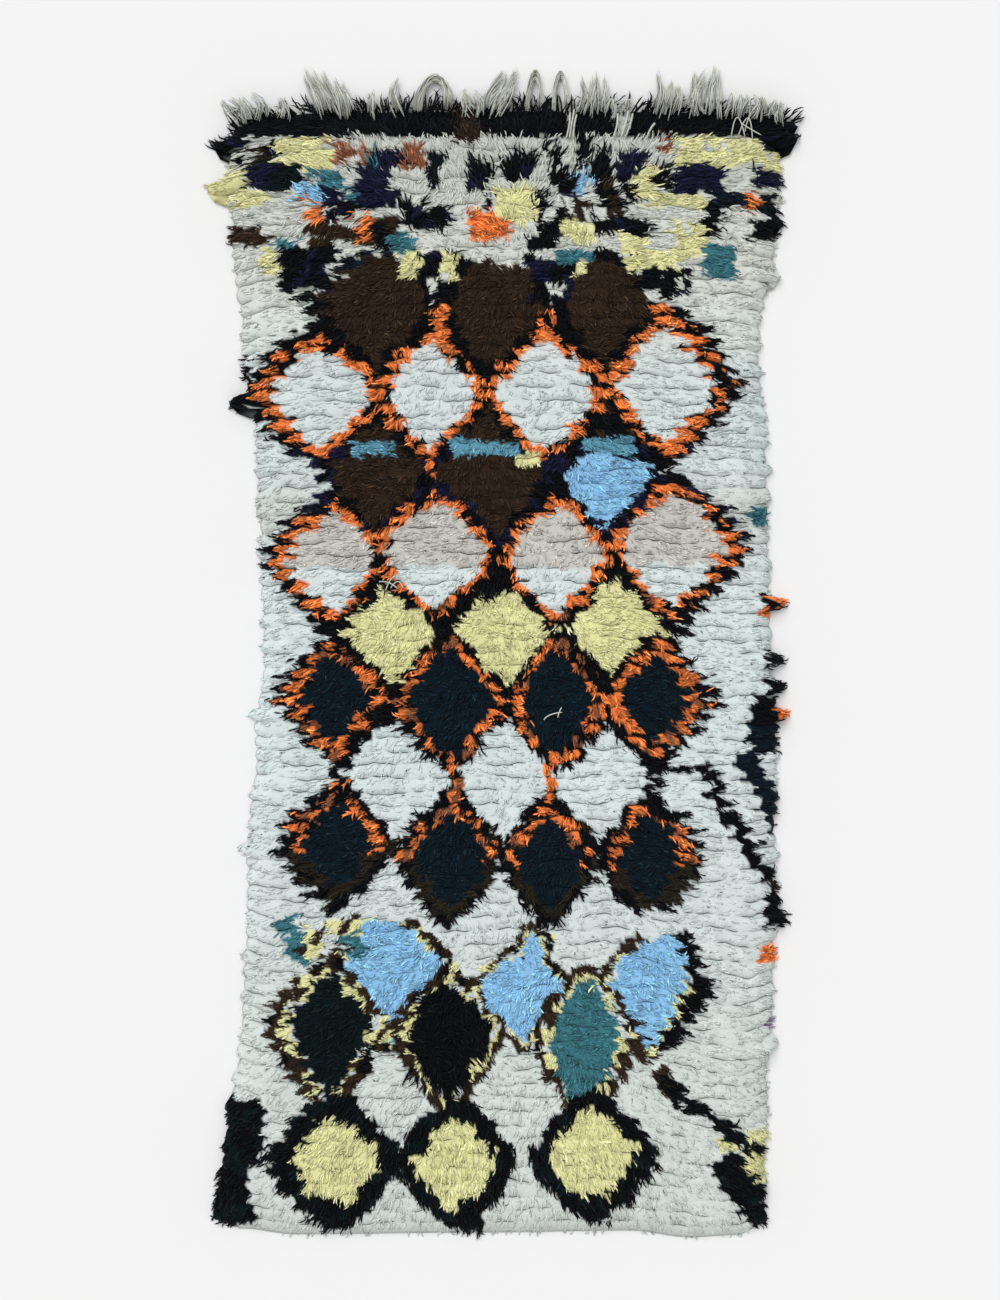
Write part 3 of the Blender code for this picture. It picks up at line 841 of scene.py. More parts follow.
def knot_of(share, station):
    """The number of the knot whose tuft lies there. The line between two knots slants, because
    the tufts lie over one another."""
    row, down_row = row_of(station)
    knot = share * KNOTS_PER_ROW - 0.6 * (habit().knot_shift[row] - 0.5)
    knot = knot + 0.7 * (down_row - 0.5) * np.sign(0.5 - share)
    return np.clip(knot.astype(int), 0, KNOTS_PER_ROW - 1) + row * KNOTS_PER_ROW


@functools.cache
def knots():
    """Every knot: its row and share, where its tuft shows, and the number of its yarn."""
    chance = np.random.default_rng(PILE_SEED + 8)
    held = habit()
    row, knot = np.divmod(np.arange(ROW_COUNT * KNOTS_PER_ROW), KNOTS_PER_ROW)
    share = (knot + 0.5 + 0.6 * (held.knot_shift[row] - 0.5)) / KNOTS_PER_ROW
    share = share + chance.uniform(-0.12, 0.12, row.size) / KNOTS_PER_ROW
    station = (row + 0.5) * ROW_PITCH
    x, y, _ = lie(share, station)
    return SimpleNamespace(
        row=row, share=share, station=station, x=x, y=y, down=(HEAD_Y - y) / CM,
        yarn=yarn_at(share, station), tone=chance.uniform(0, 1, row.size),
    )


def comb(x, y, share, station):
    """Which way the pile lies, as a vector from 0 to about 1 long: outwards from the middle, and
    most of all along the margins, with slow chance swirls."""
    width = sum(half_widths(station))
    to_left = (1 - smooth(share * width / SIDE_COMB)) ** 0.8
    to_right = (1 - smooth((1 - share) * width / SIDE_COMB)) ** 0.8
    to_head = 1 - smooth(station / HEAD_COMB)
    to_head = to_head * (1 - 0.75 * np.maximum(to_left, to_right) ** 2 * smooth(station / 0.04))
    to_foot = 1 - smooth((RUG_LENGTH - station) / FOOT_COMB)
    lie_x = to_right - to_left + SWIRL * swell(x, y, 0.17, PILE_SEED + 2)
    lie_y = to_head - to_foot - 0.20 + SWIRL * swell(x, y, 0.14, PILE_SEED + 3)
    return lie_x, lie_y


def shaggy():
    """How shaggy the pile is at each knot: 1 at the head, 0 from the first lozenges down."""
    return 1 - smooth((knots().down - 12) / 18)


def end_places(chance):
    """Where the yarn ends lie: chance places round every knot, of which a yarn keeps about as
    many as it has ends. Gives each end's knot, share, station and yarn."""
    held = knots()
    most = max(yarn.ends for yarn in YARNS) + SHAGGY_ENDS
    tries = held.row.size * most
    knot = np.repeat(np.arange(held.row.size), most)
    across, along = END_SPREAD
    share = held.share[knot] + chance.uniform(-across, across, tries) / KNOTS_PER_ROW
    share = np.clip(share, 0, 1)
    station = held.station[knot] + chance.uniform(-along, along, tries) * ROW_PITCH
    blur = chance.normal(0, SHAGGY_BLUR, tries) * shaggy()[knot]
    yarn = yarn_at(np.clip(share + blur, 0, 1), station)
    undyed = yarn <= YARN_NUMBER["ecru"]
    wanted = of_yarn("ends", yarn) + SHAGGY_ENDS * shaggy()[knot] * undyed
    kept = chance.uniform(0, most, tries) < wanted
    return knot[kept], share[kept], station[kept], yarn[kept]


def end_courses(chance, knot, share, station, yarn):
    """How each end lies: its heading as a vector, its length, its sideways bow, and whether it
    strays. It follows the comb, turned by chance both with its knot and by itself, and is longest
    where the pile is most combed."""
    held = knots()
    ends = knot.size
    x, y, _ = lie(share, station)
    lie_x, lie_y = comb(x, y, share, station)
    pull = np.clip(np.hypot(lie_x, lie_y), 0, 1)
    firm = 1 - 0.6 * pull
    knot_turn = KNOT_TURN * firm * chance.normal(0, 1, held.row.size)[knot]
    own_turn = OWN_TURN * firm * chance.normal(0, 1, ends)
    turn = np.arctan2(lie_y, lie_x) + knot_turn + own_turn
    length = 0.001 * of_yarn("length", yarn)
    length = length * (0.80 + 0.60 * pull) * chance.uniform(0.75, 1.25, ends)
    length = length * (1 - 0.30 * smooth((np.abs(lie_x) - 0.5) / 0.4))
    length = length * (1 + SHAGGY_LENGTH * shaggy()[knot])
    length = length * np.where(held.row[knot] == 0, 1.05, 1.0)
    stray = chance.uniform(0, 1, ends) > 1 - STRAY_SHARE
    length = length * np.where(stray, STRAY_LENGTH, 1.0)
    turn = turn + stray * chance.normal(0, 0.7, ends)
    undyed = yarn <= YARN_NUMBER["ecru"]
    level = np.where(undyed, 0.45 + 0.55 * smooth(1.6 * np.abs(lie_y)), 1.0)
    heading = np.stack((np.cos(turn), level * np.sin(turn)), -1)
    return heading, length, chance.normal(0, 0.13, ends) * length, stray


def bed_below(flat, share, station, own):
    """Height of the bed under every stop of the ends, whose own places are given: the share and
    station there are the end's own, moved as far as the stop is."""
    moved = flat - own[:, None, :]
    share_there = share[:, None] + moved[:, :, 0] / sum(half_widths(station))[:, None]
    down_there = station[:, None] - moved[:, :, 1]
    station_there = np.clip(down_there, 0, RUG_LENGTH - 1e-6)
    outside = np.minimum(down_there, 0) + np.minimum(RUG_LENGTH - down_there, 0)
    end_margin = np.minimum(station_there, RUG_LENGTH - station_there)
    margin = np.minimum(margin_at(flat[:, :, 0], station_there), end_margin) + outside
    return bed_height(
        flat[:, :, 0], flat[:, :, 1], margin, np.clip(share_there, 0, 1), station_there
    )


def end_paths(chance, knot, share, station, yarn):
    """The path of each end. It is a parabola over its heading that comes up out of the bed, lies
    on it, and closes in on its neighbours at the tip. The first row's ends fall over the head."""
    held = knots()
    ends = knot.size
    heading, length, bow, stray = end_courses(chance, knot, share, station, yarn)
    x, y, _ = lie(share, station)
    t = np.array(STROKE_STOPS)
    square = heading[:, ::-1] * (-1, 1)
    step = (t - STROKE_MIDDLE)[None, :, None] * (heading * length[:, None])[:, None, :]
    curve = (4 * t * (1 - t) - 0.6)[None, :, None] * (square * bow[:, None])[:, None, :]
    gather = np.interp(t, (0, 0.5, 1), (0.9, 1.0, 0.72))
    middle = np.stack((held.x[knot], held.y[knot]), -1)
    own = np.stack((x, y), -1)
    base = middle[:, None, :] + (own - middle)[:, None, :] * gather[None, :, None]
    first_row = held.row[knot] == 0
    base[:, :, 1] += (first_row * chance.uniform(0, 0.017, ends))[:, None]
    flat = base + step + curve
    z = bed_below(flat, share, station, own)
    loft = of_yarn("loft", yarn) * (1 + 0.35 * chance.normal(0, 1, ends)) + 1.2 * stray
    rise = np.array(STROKE_RISE)[None, :] * np.maximum(loft, 0.2)[:, None]
    past = flat[:, :, 1] - HEAD_Y
    held_up = HEAD_HEIGHT - 0.35 * np.clip(past, 0, None)
    z = np.where(past > -0.004, np.maximum(z, held_up), z)
    return np.concatenate((flat, (z + rise)[:, :, None]), -1)


@functools.cache
def yarn_ends():
    """Every yarn end of the pile: its path, girth and turn, and the traits of its wool."""
    held = knots()
    chance = np.random.default_rng(PILE_SEED + 12)
    knot, share, station, yarn = end_places(chance)
    ends = knot.size
    paths = end_paths(chance, knot, share, station, yarn)
    girth = 0.5 * 0.001 * of_yarn("width", yarn) * chance.uniform(0.80, 1.2, ends)
    tone = 0.45 * held.tone[knot] + 0.55 * chance.uniform(0, 1, ends)
    field = yarn == YARN_NUMBER["ivory"]
    # Painted highlight: a few ends of each dyed yarn are drawn towards a lighter copy of its colour.
    painted_highlight = (0.3 * held.tone[knot] + 0.7 * chance.uniform(0, 1, ends)) ** 3
    warm = np.where(field, read_table(FLEECE, "down", "warm", held.down)[knot], painted_highlight)
    depth = 1 - of_yarn("root", yarn)
    uneven = np.exp(0.75 * depth * chance.normal(0, 1, ends))
    bright = np.where(field, read_table(FLEECE, "down", "bright", held.down)[knot], uneven)
    return SimpleNamespace(
        paths=paths, girth=girth, tone=tone, yarn=yarn, warm=warm, bright=bright,
        turn=chance.uniform(0, 2 * np.pi, ends),
    )


def margin_at(x, station):
    """How far in from the nearer side of the pile a place lies."""
    left, right = half_widths(station)
    out_left, out_right = tongues(*row_of(station))
    return np.minimum(x - CENTRE_X + left + out_left, right + out_right - x + CENTRE_X)


def tube_points(paths, girths, turn, sides):
    """Points of pointed tubes along many paths: rings of so many sides round every stop but the
    last, square to the path there, and one point at the tip."""
    ahead = np.gradient(paths, axis=1)
    ahead /= np.linalg.norm(ahead, axis=2, keepdims=True) + 1e-12
    level = np.stack((np.cos(turn), np.sin(turn), np.zeros_like(turn)), -1)[:, None, :]
    out = level - (level * ahead).sum(2, keepdims=True) * ahead
    out /= np.linalg.norm(out, axis=2, keepdims=True) + 1e-12
    across = np.cross(ahead, out)
    angle = 2 * np.pi * np.arange(sides) / sides
    circle = (
        out[:, :-1, None, :] * np.cos(angle)[None, None, :, None]
        + across[:, :-1, None, :] * np.sin(angle)[None, None, :, None]
    )
    rings = paths[:, :-1, None, :] + circle * girths[:, :, None, None]
    return np.concatenate((rings.reshape(len(paths), -1, 3), paths[:, -1:, :]), axis=1)


@functools.cache
def tube_pattern(stops, sides):
    """One tube's faces and, for each corner, its place round and along the yarn from 0 to 1."""
    rings = len(stops) - 1
    faces = [tuple(range(sides - 1, -1, -1))]
    places = [(0.5 + 0.4 * np.cos(2 * np.pi * k / sides), 0.03) for k in faces[0]]
    places = [(u, 0.03 + 0.025 * (k % 2)) for k, (u, _) in enumerate(places)]
    for ring in range(rings):
        for k in range(sides):
            here, after = ring * sides + k, ring * sides + (k + 1) % sides
            u, next_u = k / sides, (k + 1) / sides
            low, high = stops[ring], stops[ring + 1]
            if ring < rings - 1:
                faces.append((here, after, after + sides, here + sides))
                places += [(u, low), (next_u, low), (next_u, high), (u, high)]
            else:
                faces.append((here, after, rings * sides))
                places += [(u, low), (next_u, low), ((u + next_u) / 2, high)]
    return faces, np.array(places)


def many_alike(name, points, faces, places, by_shape):
    """One mesh of many like shapes. points is shapes by points by 3. places holds each corner's
    spot on the shape, which every shape repeats in its own cell of the bake map."""
    shapes, per_shape = points.shape[:2]
    sizes = np.array([len(face) for face in faces])
    corners = np.concatenate([np.array(face) for face in faces])
    start = np.arange(shapes) * per_shape
    mesh = bpy.data.meshes.new(name)
    mesh.vertices.add(shapes * per_shape)
    mesh.vertices.foreach_set("co", points.astype(np.float32).ravel())
    mesh.loops.add(shapes * len(corners))
    mesh.loops.foreach_set("vertex_index", (start[:, None] + corners).astype(np.int32).ravel())
    totals = np.tile(sizes, shapes)
    mesh.polygons.add(shapes * len(faces))
    mesh.polygons.foreach_set("loop_start", (np.cumsum(totals) - totals).astype(np.int32))
    mesh.update(calc_edges=True)
    for key, values in by_shape.items():
        held = mesh.attributes.new(key, "FLOAT", "POINT")
        held.data.foreach_set("value", np.repeat(values, per_shape).astype(np.float32))
    columns = int(np.ceil(np.sqrt(shapes)))
    cell = np.stack(np.divmod(np.arange(shapes), columns)[::-1], -1)[:, None, :]
    baked = (cell + 0.08 + 0.84 * places[None]) / columns
    for key, values in ((BAKE_MAP, baked), (YARN_MAP, np.tile(places, (shapes, 1)))):
        held = mesh.uv_layers.new(name=key)
        held.uv.foreach_set("vector", values.astype(np.float32).ravel())
    mesh.shade_smooth()
    mesh.validate()
    return new_object(name, mesh)


def add_node(tree, kind, inputs, **settings):
    """A new shader node with its settings, and its inputs given as values or as other sockets."""
    node = tree.nodes.new(kind)
    for key, value in settings.items():
        setattr(node, key, value)
    for key, value in inputs.items():
        if isinstance(value, bpy.types.NodeSocket):
            tree.links.new(value, node.inputs[key])
        else:
            node.inputs[key].default_value = value
    return node


def calculate(tree, operation, *values):
    """A math node on sockets or numbers, and its result."""
    inputs = dict(enumerate(values))
    return add_node(tree, "ShaderNodeMath", inputs, operation=operation).outputs[0]


def reading(tree, name):
    """The value of one of the mesh's own attributes."""
    node = tree.nodes.new("ShaderNodeAttribute")
    node.attribute_name = name
    return node.outputs["Fac"]


def eased(tree, value, start, end):
    """A smooth ramp: what a value becomes between two ends, and outside them."""
    inputs = {
        "Value": value,
        "From Min": start[0],
        "From Max": start[1],
        "To Min": end[0],
        "To Max": end[1],
    }
    return add_node(tree, "ShaderNodeMapRange", inputs, interpolation_type="SMOOTHSTEP").outputs[0]


def stretched_noise(tree, scales, **inputs):
    """Noise over the rug's own coordinates, with a scale of its own along each axis."""
    coordinates = tree.nodes.new("ShaderNodeTexCoord")
    placed = {"Vector": coordinates.outputs["Object"], "Scale": scales}
    mapping = add_node(tree, "ShaderNodeMapping", placed)
    inputs = {"Vector": mapping.outputs[0], "Scale": 1.0, **inputs}
    return add_node(tree, "ShaderNodeTexNoise", inputs).outputs[0]


def new_wool(name, specular, sheen):
    """A new material with its node tree and its shader, which has no strong gloss."""
    material = bpy.data.materials.new(name)
    material.use_nodes = True
    shader = material.node_tree.nodes["Principled BSDF"]
    shader.inputs["Specular IOR Level"].default_value = specular
    shader.inputs["Sheen Weight"].default_value = sheen
    return material, material.node_tree, shader


def finish_wool(tree, shader, colour, light, rough, relief, strength, depth):
    """Gives the shader a colour times its light, its roughness, and bumps from a relief."""
    lit = add_node(tree, "ShaderNodeVectorMath", {0: colour, "Scale": light}, operation="SCALE")
    inputs = {"Strength": strength, "Distance": depth, "Height": relief}
    bump = add_node(tree, "ShaderNodeBump", inputs)
    tree.links.new(lit.outputs[0], shader.inputs["Base Color"])
    tree.links.new(rough, shader.inputs["Roughness"])
    tree.links.new(bump.outputs[0], shader.inputs["Normal"])


def wool(name, colour, sheen, painted_root_shade, other_colour):
    """Spun wool: streaks of fibre run along the yarn, each yarn has its own tone, and the roots
    are darker than the ends, which is painted shade. The shape's own "warm" says how far it is of
    the other colour, which for a dyed yarn is a lighter copy of its own that stands in for
    painted highlights."""
    material, tree, shader = new_wool(name, 0.12, sheen)
    tone = reading(tree, "tone")
    yarn_map = add_node(tree, "ShaderNodeUVMap", {}, uv_map=YARN_MAP)
    split = add_node(tree, "ShaderNodeSeparateXYZ", {0: yarn_map.outputs["UV"]})
    along = split.outputs["Y"]
    place = add_node(tree, "ShaderNodeCombineXYZ", {
        "X": calculate(tree, "MULTIPLY", split.outputs["X"], 5.0),
        "Y": calculate(tree, "MULTIPLY", along, 1.8),
        "Z": calculate(tree, "MULTIPLY", tone, 90.0),
    })
    drawn = {"Vector": place.outputs[0], "Scale": 1.6, "Detail": 3.0}
    fibre = add_node(tree, "ShaderNodeTexNoise", drawn).outputs[0]
    # Painted shade: the colour darkens towards each end's root, where the pile is deep.
    root = eased(tree, along, (0.05, 0.75), (painted_root_shade, 1.0))
    toned = calculate(tree, "MULTIPLY_ADD", tone, 0.30, 0.84)
    streaked = calculate(tree, "MULTIPLY_ADD", fibre, 0.75, 0.62)
    light = calculate(tree, "MULTIPLY", calculate(tree, "MULTIPLY", toned, streaked), root)
    light = calculate(tree, "MULTIPLY", light, reading(tree, "bright"))
    dyes = {"Factor": reading(tree, "warm"), "A": (*colour, 1.0), "B": (*other_colour, 1.0)}
    dyed = add_node(tree, "ShaderNodeMix", dyes, data_type="RGBA").outputs["Result"]
    rough = calculate(tree, "MULTIPLY_ADD", fibre, 0.25, 0.75)
    finish_wool(tree, shader, dyed, light, rough, fibre, 0.5, 0.0008)
    return material


def yarn_colours():
    """Each yarn's colour as the user has set it."""
    held = bpy.context.scene.shag_yarns
    return [tuple(getattr(held, yarn.name)) for yarn in YARNS]


@functools.cache
def yarn_material(number):
    """The wool of one yarn, shared by every piece that wears it."""
    yarn = YARNS[number]
    colour = yarn_colours()[number]
    # Painted highlight: a dyed yarn's other colour is a lighter copy of its own.
    painted_highlight = tuple(min(1.0, 1.5 * part + 0.008) for part in colour)
    other = DULL_WOOL if yarn.name == "ivory" else painted_highlight
    # yarn.root is the share of the colour left at the roots under painted shade.
    return wool(f"wool_{yarn.name}", colour, yarn.sheen, yarn.root, other)


def lay_ends(name, chosen, number):
    """One pile piece: the chosen yarn ends as pointed tubes of three sides."""
    ends = yarn_ends()
    girths = ends.girth[chosen][:, None] * np.array(STROKE_GIRTHS)
    points = tube_points(ends.paths[chosen], girths, ends.turn[chosen], 3)
    points[:, :, 2] = np.maximum(points[:, :, 2], LOWEST)
    faces, places = tube_pattern(STROKE_STOPS, 3)
    by_shape = {key: getattr(ends, key)[chosen] for key in ("tone", "warm", "bright")}
    piece = many_alike(name, points, faces, places, by_shape)
    piece.data.materials.append(yarn_material(number))
    belongs(piece, "shag_rug")


def belongs(piece, solid):
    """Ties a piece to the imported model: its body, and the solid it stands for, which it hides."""
    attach(piece, "root")
    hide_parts(solid)


def bed_wool():
    """The matted wool under the ends: the knots' own colours with painted shade in the creases,
    mottled, with combed streaks and fine slits of painted shade where the tufts part."""
    material, tree, shader = new_wool("wool_bed", 0.08, 0.06)
    tint = add_node(tree, "ShaderNodeAttribute", {}, attribute_name="tint").outputs["Color"]
    fibre = stretched_noise(tree, (260.0, 620.0, 400.0), Detail=4.0, Roughness=0.65)
    parting = stretched_noise(tree, (75.0, 330.0, 60.0), Detail=2.0, Distortion=0.6)
    # Painted shade: the colour darkens in fine slits where the tufts part.
    slit = eased(tree, parting, (0.62, 0.74), (1.0, 0.62))
    light = calculate(tree, "MULTIPLY", calculate(tree, "MULTIPLY_ADD", fibre, 0.55, 0.68), slit)
    rough = calculate(tree, "MULTIPLY_ADD", fibre, 0.2, 0.78)
    finish_wool(tree, shader, tint, light, rough, fibre, 0.6, 0.0010)
    return material


def bed_tint(share, station):
    """Linear colour of the bed at each of its points: the knot's own, with painted shade in
    the creases.
    """
    held = knots()
    _, down_row = row_of(station)
    knot = knot_of(share, station)
    yarn = yarn_at(share, station)
    colours = np.array(yarn_colours())
    warm = read_table(FLEECE, "down", "warm", held.down[knot])[:, None]
    bright = read_table(FLEECE, "down", "bright", held.down[knot])[:, None]
    fleece = colours[0] * (1 - warm) + np.array(DULL_WOOL) * warm
    tint = np.where(yarn[:, None] == 0, fleece * bright, colours[yarn])
    shade = 0.92 + 0.10 * held.tone[knot]
    # Painted shade: the colour darkens in the creases between rows, most where they stand open.
    shade = shade - (0.05 + 0.62 * crack(share, station)) * np.abs(2 * down_row - 1) ** 20
    return tint * shade[:, None]


def pile_bed():
    """The bed of matted wool: a grid over every row, with lines crowded at the creases. Its rim
    turns under to a flat face that lies on the ground weave."""
    lines = (np.arange(ROW_COUNT)[:, None] + np.array(BED_LINES_PER_ROW)).ravel() * ROW_PITCH
    lines = np.append(lines, RUG_LENGTH)
    share, station = (a.ravel() for a in np.meshgrid(np.linspace(0, 1, BED_COLUMNS), lines))
    x, y, margin = lie(share, station)
    z = bed_height(x, y, np.maximum(margin - 0.001, 0), share, station)
    top = np.stack((x, y, z), -1)
    rows, columns = len(lines), BED_COLUMNS
    corner = (np.arange(rows - 1)[:, None] * columns + np.arange(columns - 1)).ravel()
    quads = np.stack((corner, corner + columns, corner + columns + 1, corner + 1), -1)
    last = rows * columns
    rim = np.concatenate((
        np.arange(columns - 1),
        np.arange(columns - 1, last - 1, columns),
        np.arange(last - 1, last - columns, -1),
        np.arange(last - columns, 0, -columns),
    ))
    middle = np.array((CENTRE_X, HEAD_Y - RUG_LENGTH / 2, 0))
    inward = middle - top[rim]
    inward[:, 2] = 0
    inward /= np.linalg.norm(inward, axis=1, keepdims=True)
    under = top[rim] + BED_TURNED_IN * inward
    under[:, 2] = BED_UNDERSIDE
    ring = last + np.arange(len(rim))
    skirt = np.stack((rim, np.roll(rim, -1), np.roll(ring, -1), ring), -1)
    faces = [*quads.tolist(), *skirt.tolist(), ring.tolist()]
    mesh = bpy.data.meshes.new("pile_bed")
    mesh.from_pydata(np.concatenate((top, under)).tolist(), [], faces)
    tint = bed_tint(share, station)
    tint = np.concatenate((tint, tint[rim]))
    held = mesh.attributes.new("tint", "FLOAT_COLOR", "POINT")
    opaque = np.concatenate((tint, np.ones((len(tint), 1))), 1)
    held.data.foreach_set("color", opaque.astype(np.float32).ravel())
    spot = np.stack((0.02 + 0.94 * share, 0.99 - 0.98 * station / RUG_LENGTH), -1)
    spot = np.concatenate((spot, spot[rim] * (0.02, 1) + (0.97, 0)))
    corners = np.empty(len(mesh.loops), np.int32)
    mesh.loops.foreach_get("vertex_index", corners)
    uv = mesh.uv_layers.new(name=BAKE_MAP)
    uv.uv.foreach_set("vector", spot[corners].astype(np.float32).ravel())
    mesh.shade_smooth()
    piece = new_object("pile_bed", mesh)
    piece.data.materials.append(bed_wool())
    belongs(piece, "shag_rug")


def new_surface(name, points, faces, uv):
    """A mesh object from a grid's points and quads, with its own map."""
    mesh = bpy.data.meshes.new(name)
    mesh.from_pydata(points.tolist(), [], faces.tolist())
    held = mesh.uv_layers.new(name=BAKE_MAP)
    held.uv.foreach_set("vector", uv[faces.ravel()].astype(np.float32).ravel())
    mesh.shade_smooth()
    return new_object(name, mesh)


def ribs(tree, place, pitch):
    """A sine wave over a coordinate, with a rib every pitch."""
    return calculate(tree, "SINE", calculate(tree, "MULTIPLY", place, 2 * np.pi / pitch))


def weave(name, colour):
    """Coarse plain weave in wool: weft ribs across the rug, warp furrows along it, and flecks.
    The colour is darker in the furrows, which is painted shade.
    """
    material, tree, shader = new_wool(name, 0.12, 0.15)
    coordinates = tree.nodes.new("ShaderNodeTexCoord")
    split = add_node(tree, "ShaderNodeSeparateXYZ", {0: coordinates.outputs["Object"]})
    weft = calculate(tree, "ABSOLUTE", ribs(tree, split.outputs["Y"], WEFT_PITCH))
    warp = ribs(tree, split.outputs["X"], WARP_PITCH)
    relief = calculate(tree, "MULTIPLY_ADD", warp, 0.5, weft)
    fleck = stretched_noise(tree, (380.0, 380.0, 380.0), Detail=4.0)
    flecked = calculate(tree, "MULTIPLY_ADD", fleck, 0.7, 0.45)
    # Painted shade: the colour darkens where the relief of the ribs is low.
    furrow_shade = calculate(tree, "MULTIPLY_ADD", relief, 0.2, 0.75)
    light = calculate(tree, "MULTIPLY", flecked, furrow_shade)
    rough = calculate(tree, "MULTIPLY_ADD", fleck, 0.2, 0.78)
    bumps = calculate(tree, "ADD", relief, fleck)
    finish_wool(tree, shader, colour, light, rough, bumps, 1.0, 0.0008)
    return material


def ground_weave():
    """The ground: a grid over the plan, a few waves of wool high, thickened to a thin sheet."""
    columns, rows = GROUND_COLUMNS, 2 * ROW_COUNT + 1
    share, station = np.meshgrid(np.linspace(0, 1, columns), np.linspace(0, RUG_LENGTH, rows))
    x, y = plan(share.ravel(), station.ravel())
    z = GROUND_TOP + 0.0003 * np.cos(2 * np.pi * station.ravel() / ROW_PITCH)
    points = np.stack((x, y, z), -1)
    corner = (np.arange(rows - 1)[:, None] * columns + np.arange(columns - 1)).ravel()
    faces = np.stack((corner, corner + columns, corner + columns + 1, corner + 1), -1)
    uv = np.stack((share.ravel(), 1 - station.ravel() / RUG_LENGTH), -1)
    piece = new_surface("ground_weave", points, faces, uv)
    piece.data.materials.append(weave("ground_wool", linear(188, 186, 170)))
    thick = piece.modifiers.new("thickness", "SOLIDIFY")
    thick.thickness = GROUND_THICKNESS
    thick.offset = -1.0
    belongs(piece, "shag_rug")


def knot_backs():
    """The knots' backs: a short fat bar of yarn for each knot, two points and a ring of four."""
    held = knots()
    chance = np.random.default_rng(PILE_SEED + 5)
    count = held.row.size
    x, y = plan(held.share, held.station)
    half_length = 0.0056 * chance.uniform(0.85, 1.05, count)
    half_width = 0.0030 * chance.uniform(0.85, 1.15, count)
    shape = np.array(((-1, 0, 0), (0, 1, 0), (0, 0, 1), (0, -1, 0), (0, 0, -1), (1, 0, 0)))
    scale = np.stack((half_length, half_width, np.full(count, 0.0011)), -1)
    middle = np.stack((x, y, np.full(count, 0.0016)), -1)
    points = middle[:, None, :] + shape[None] * scale[:, None, :]
    faces = []
    places = []
    for k in range(4):
        here, after = 1 + k, 1 + (k + 1) % 4
        faces += [(0, here, after), (5, after, here)]
        places += [(k / 4 + 0.12, 0.05), (k / 4, 0.5), (k / 4 + 0.25, 0.5)]
        places += [(k / 4 + 0.12, 0.95), (k / 4 + 0.25, 0.5), (k / 4, 0.5)]
    by_shape = {
        "tone": held.tone,
        # For a dyed knot, warm draws its colour part way towards the lighter copy of painted
        # highlight.
        "warm": np.full(count, 0.4),
        "bright": np.full(count, 0.95),
    }
    piece = many_alike("knot_backs", points, faces, np.array(places), by_shape)
    for number in range(len(YARNS)):
        piece.data.materials.append(yarn_material(number))
    slots = np.repeat(held.yarn, len(faces)).astype(np.int32)
    piece.data.polygons.foreach_set("material_index", slots)
    belongs(piece, "shag_rug")


def pile_pieces():
    """The pile: one piece for each yarn, and more where a yarn has too many ends for one."""
    ends = yarn_ends()
    for number, yarn in enumerate(YARNS):
        chosen = np.flatnonzero(ends.yarn == number)
        if not len(chosen):
            continue
        parts = np.array_split(chosen, -(-len(chosen) // MOST_ENDS_IN_A_PIECE))
        for part, members in enumerate(parts):
            suffix = f"_{part + 1}" if len(parts) > 1 else ""
            lay_ends(f"pile_{yarn.name}{suffix}", members, number)


def head_edge(across):
    """Y of the rug's head at places across it, where the warp leaves the ground weave."""
    width = SIDES[0].left + SIDES[0].right
    share = np.clip((across + SIDES[0].left) / width, 0, 1)
    return HEAD_Y - np.minimum(read_table(ENDS, "share", "head", share), 0.006)


def lock_paths(tuft, t, chance):
    """Paths of one lock: yarns that start side by side and draw together at the lock's tip."""
    paths = []
    share = tuft.width / tuft.locks
    for lock in range(tuft.locks):
        middle = tuft.across - tuft.width / 2 + (lock + 0.5) * share
        tip_x = middle + tuft.lean + chance.normal(0, 0.003)
        full = tuft.reach * chance.uniform(1.05, 1.35)
        bend = chance.normal(0, 0.004)
        for number in range(YARNS_PER_LOCK):
            place = (number + 0.5) / YARNS_PER_LOCK - 0.5 + chance.uniform(-0.05, 0.05)
            root_x = middle + place * share * 1.35
            end_x = tip_x + place * share * chance.uniform(0.1, 0.75)
            inside = chance.uniform(0.002, 0.018) if chance.uniform() < 0.4 else 0.0
            root_y = head_edge(root_x) - inside + chance.uniform(-0.002, 0.010)
            end_y = head_edge(middle) + full * (1 - 0.45 * np.abs(place)) * chance.uniform(0.72, 1.0)
            wave = 0.0012 * np.sin(2 * np.pi * (t * chance.uniform(0.6, 1.5) + chance.uniform()))
            x = root_x + (end_x - root_x) * t**1.3 + bend * np.sin(np.pi * t) + wave * t
            y = root_y + (end_y - root_y) * t
            paths.append((x, y))
    return paths


def loop_paths(tuft, t, chance):
    """Paths of one looped tuft: half ellipses of several sizes, one within another."""
    paths = []
    for _ in range(YARNS_PER_LOCK * tuft.locks // 2 + 6):
        span = tuft.width * chance.uniform(0.26, 0.50)
        root_y = head_edge(tuft.across) - chance.uniform(-0.006, 0.004)
        reach = tuft.reach * chance.uniform(0.92, 1.20) + HEAD_Y - root_y
        x = tuft.across - span * np.cos(np.pi * t) + tuft.lean * np.sin(np.pi * t)
        paths.append((x, root_y + reach * np.sin(np.pi * t) ** 0.9))
    return paths


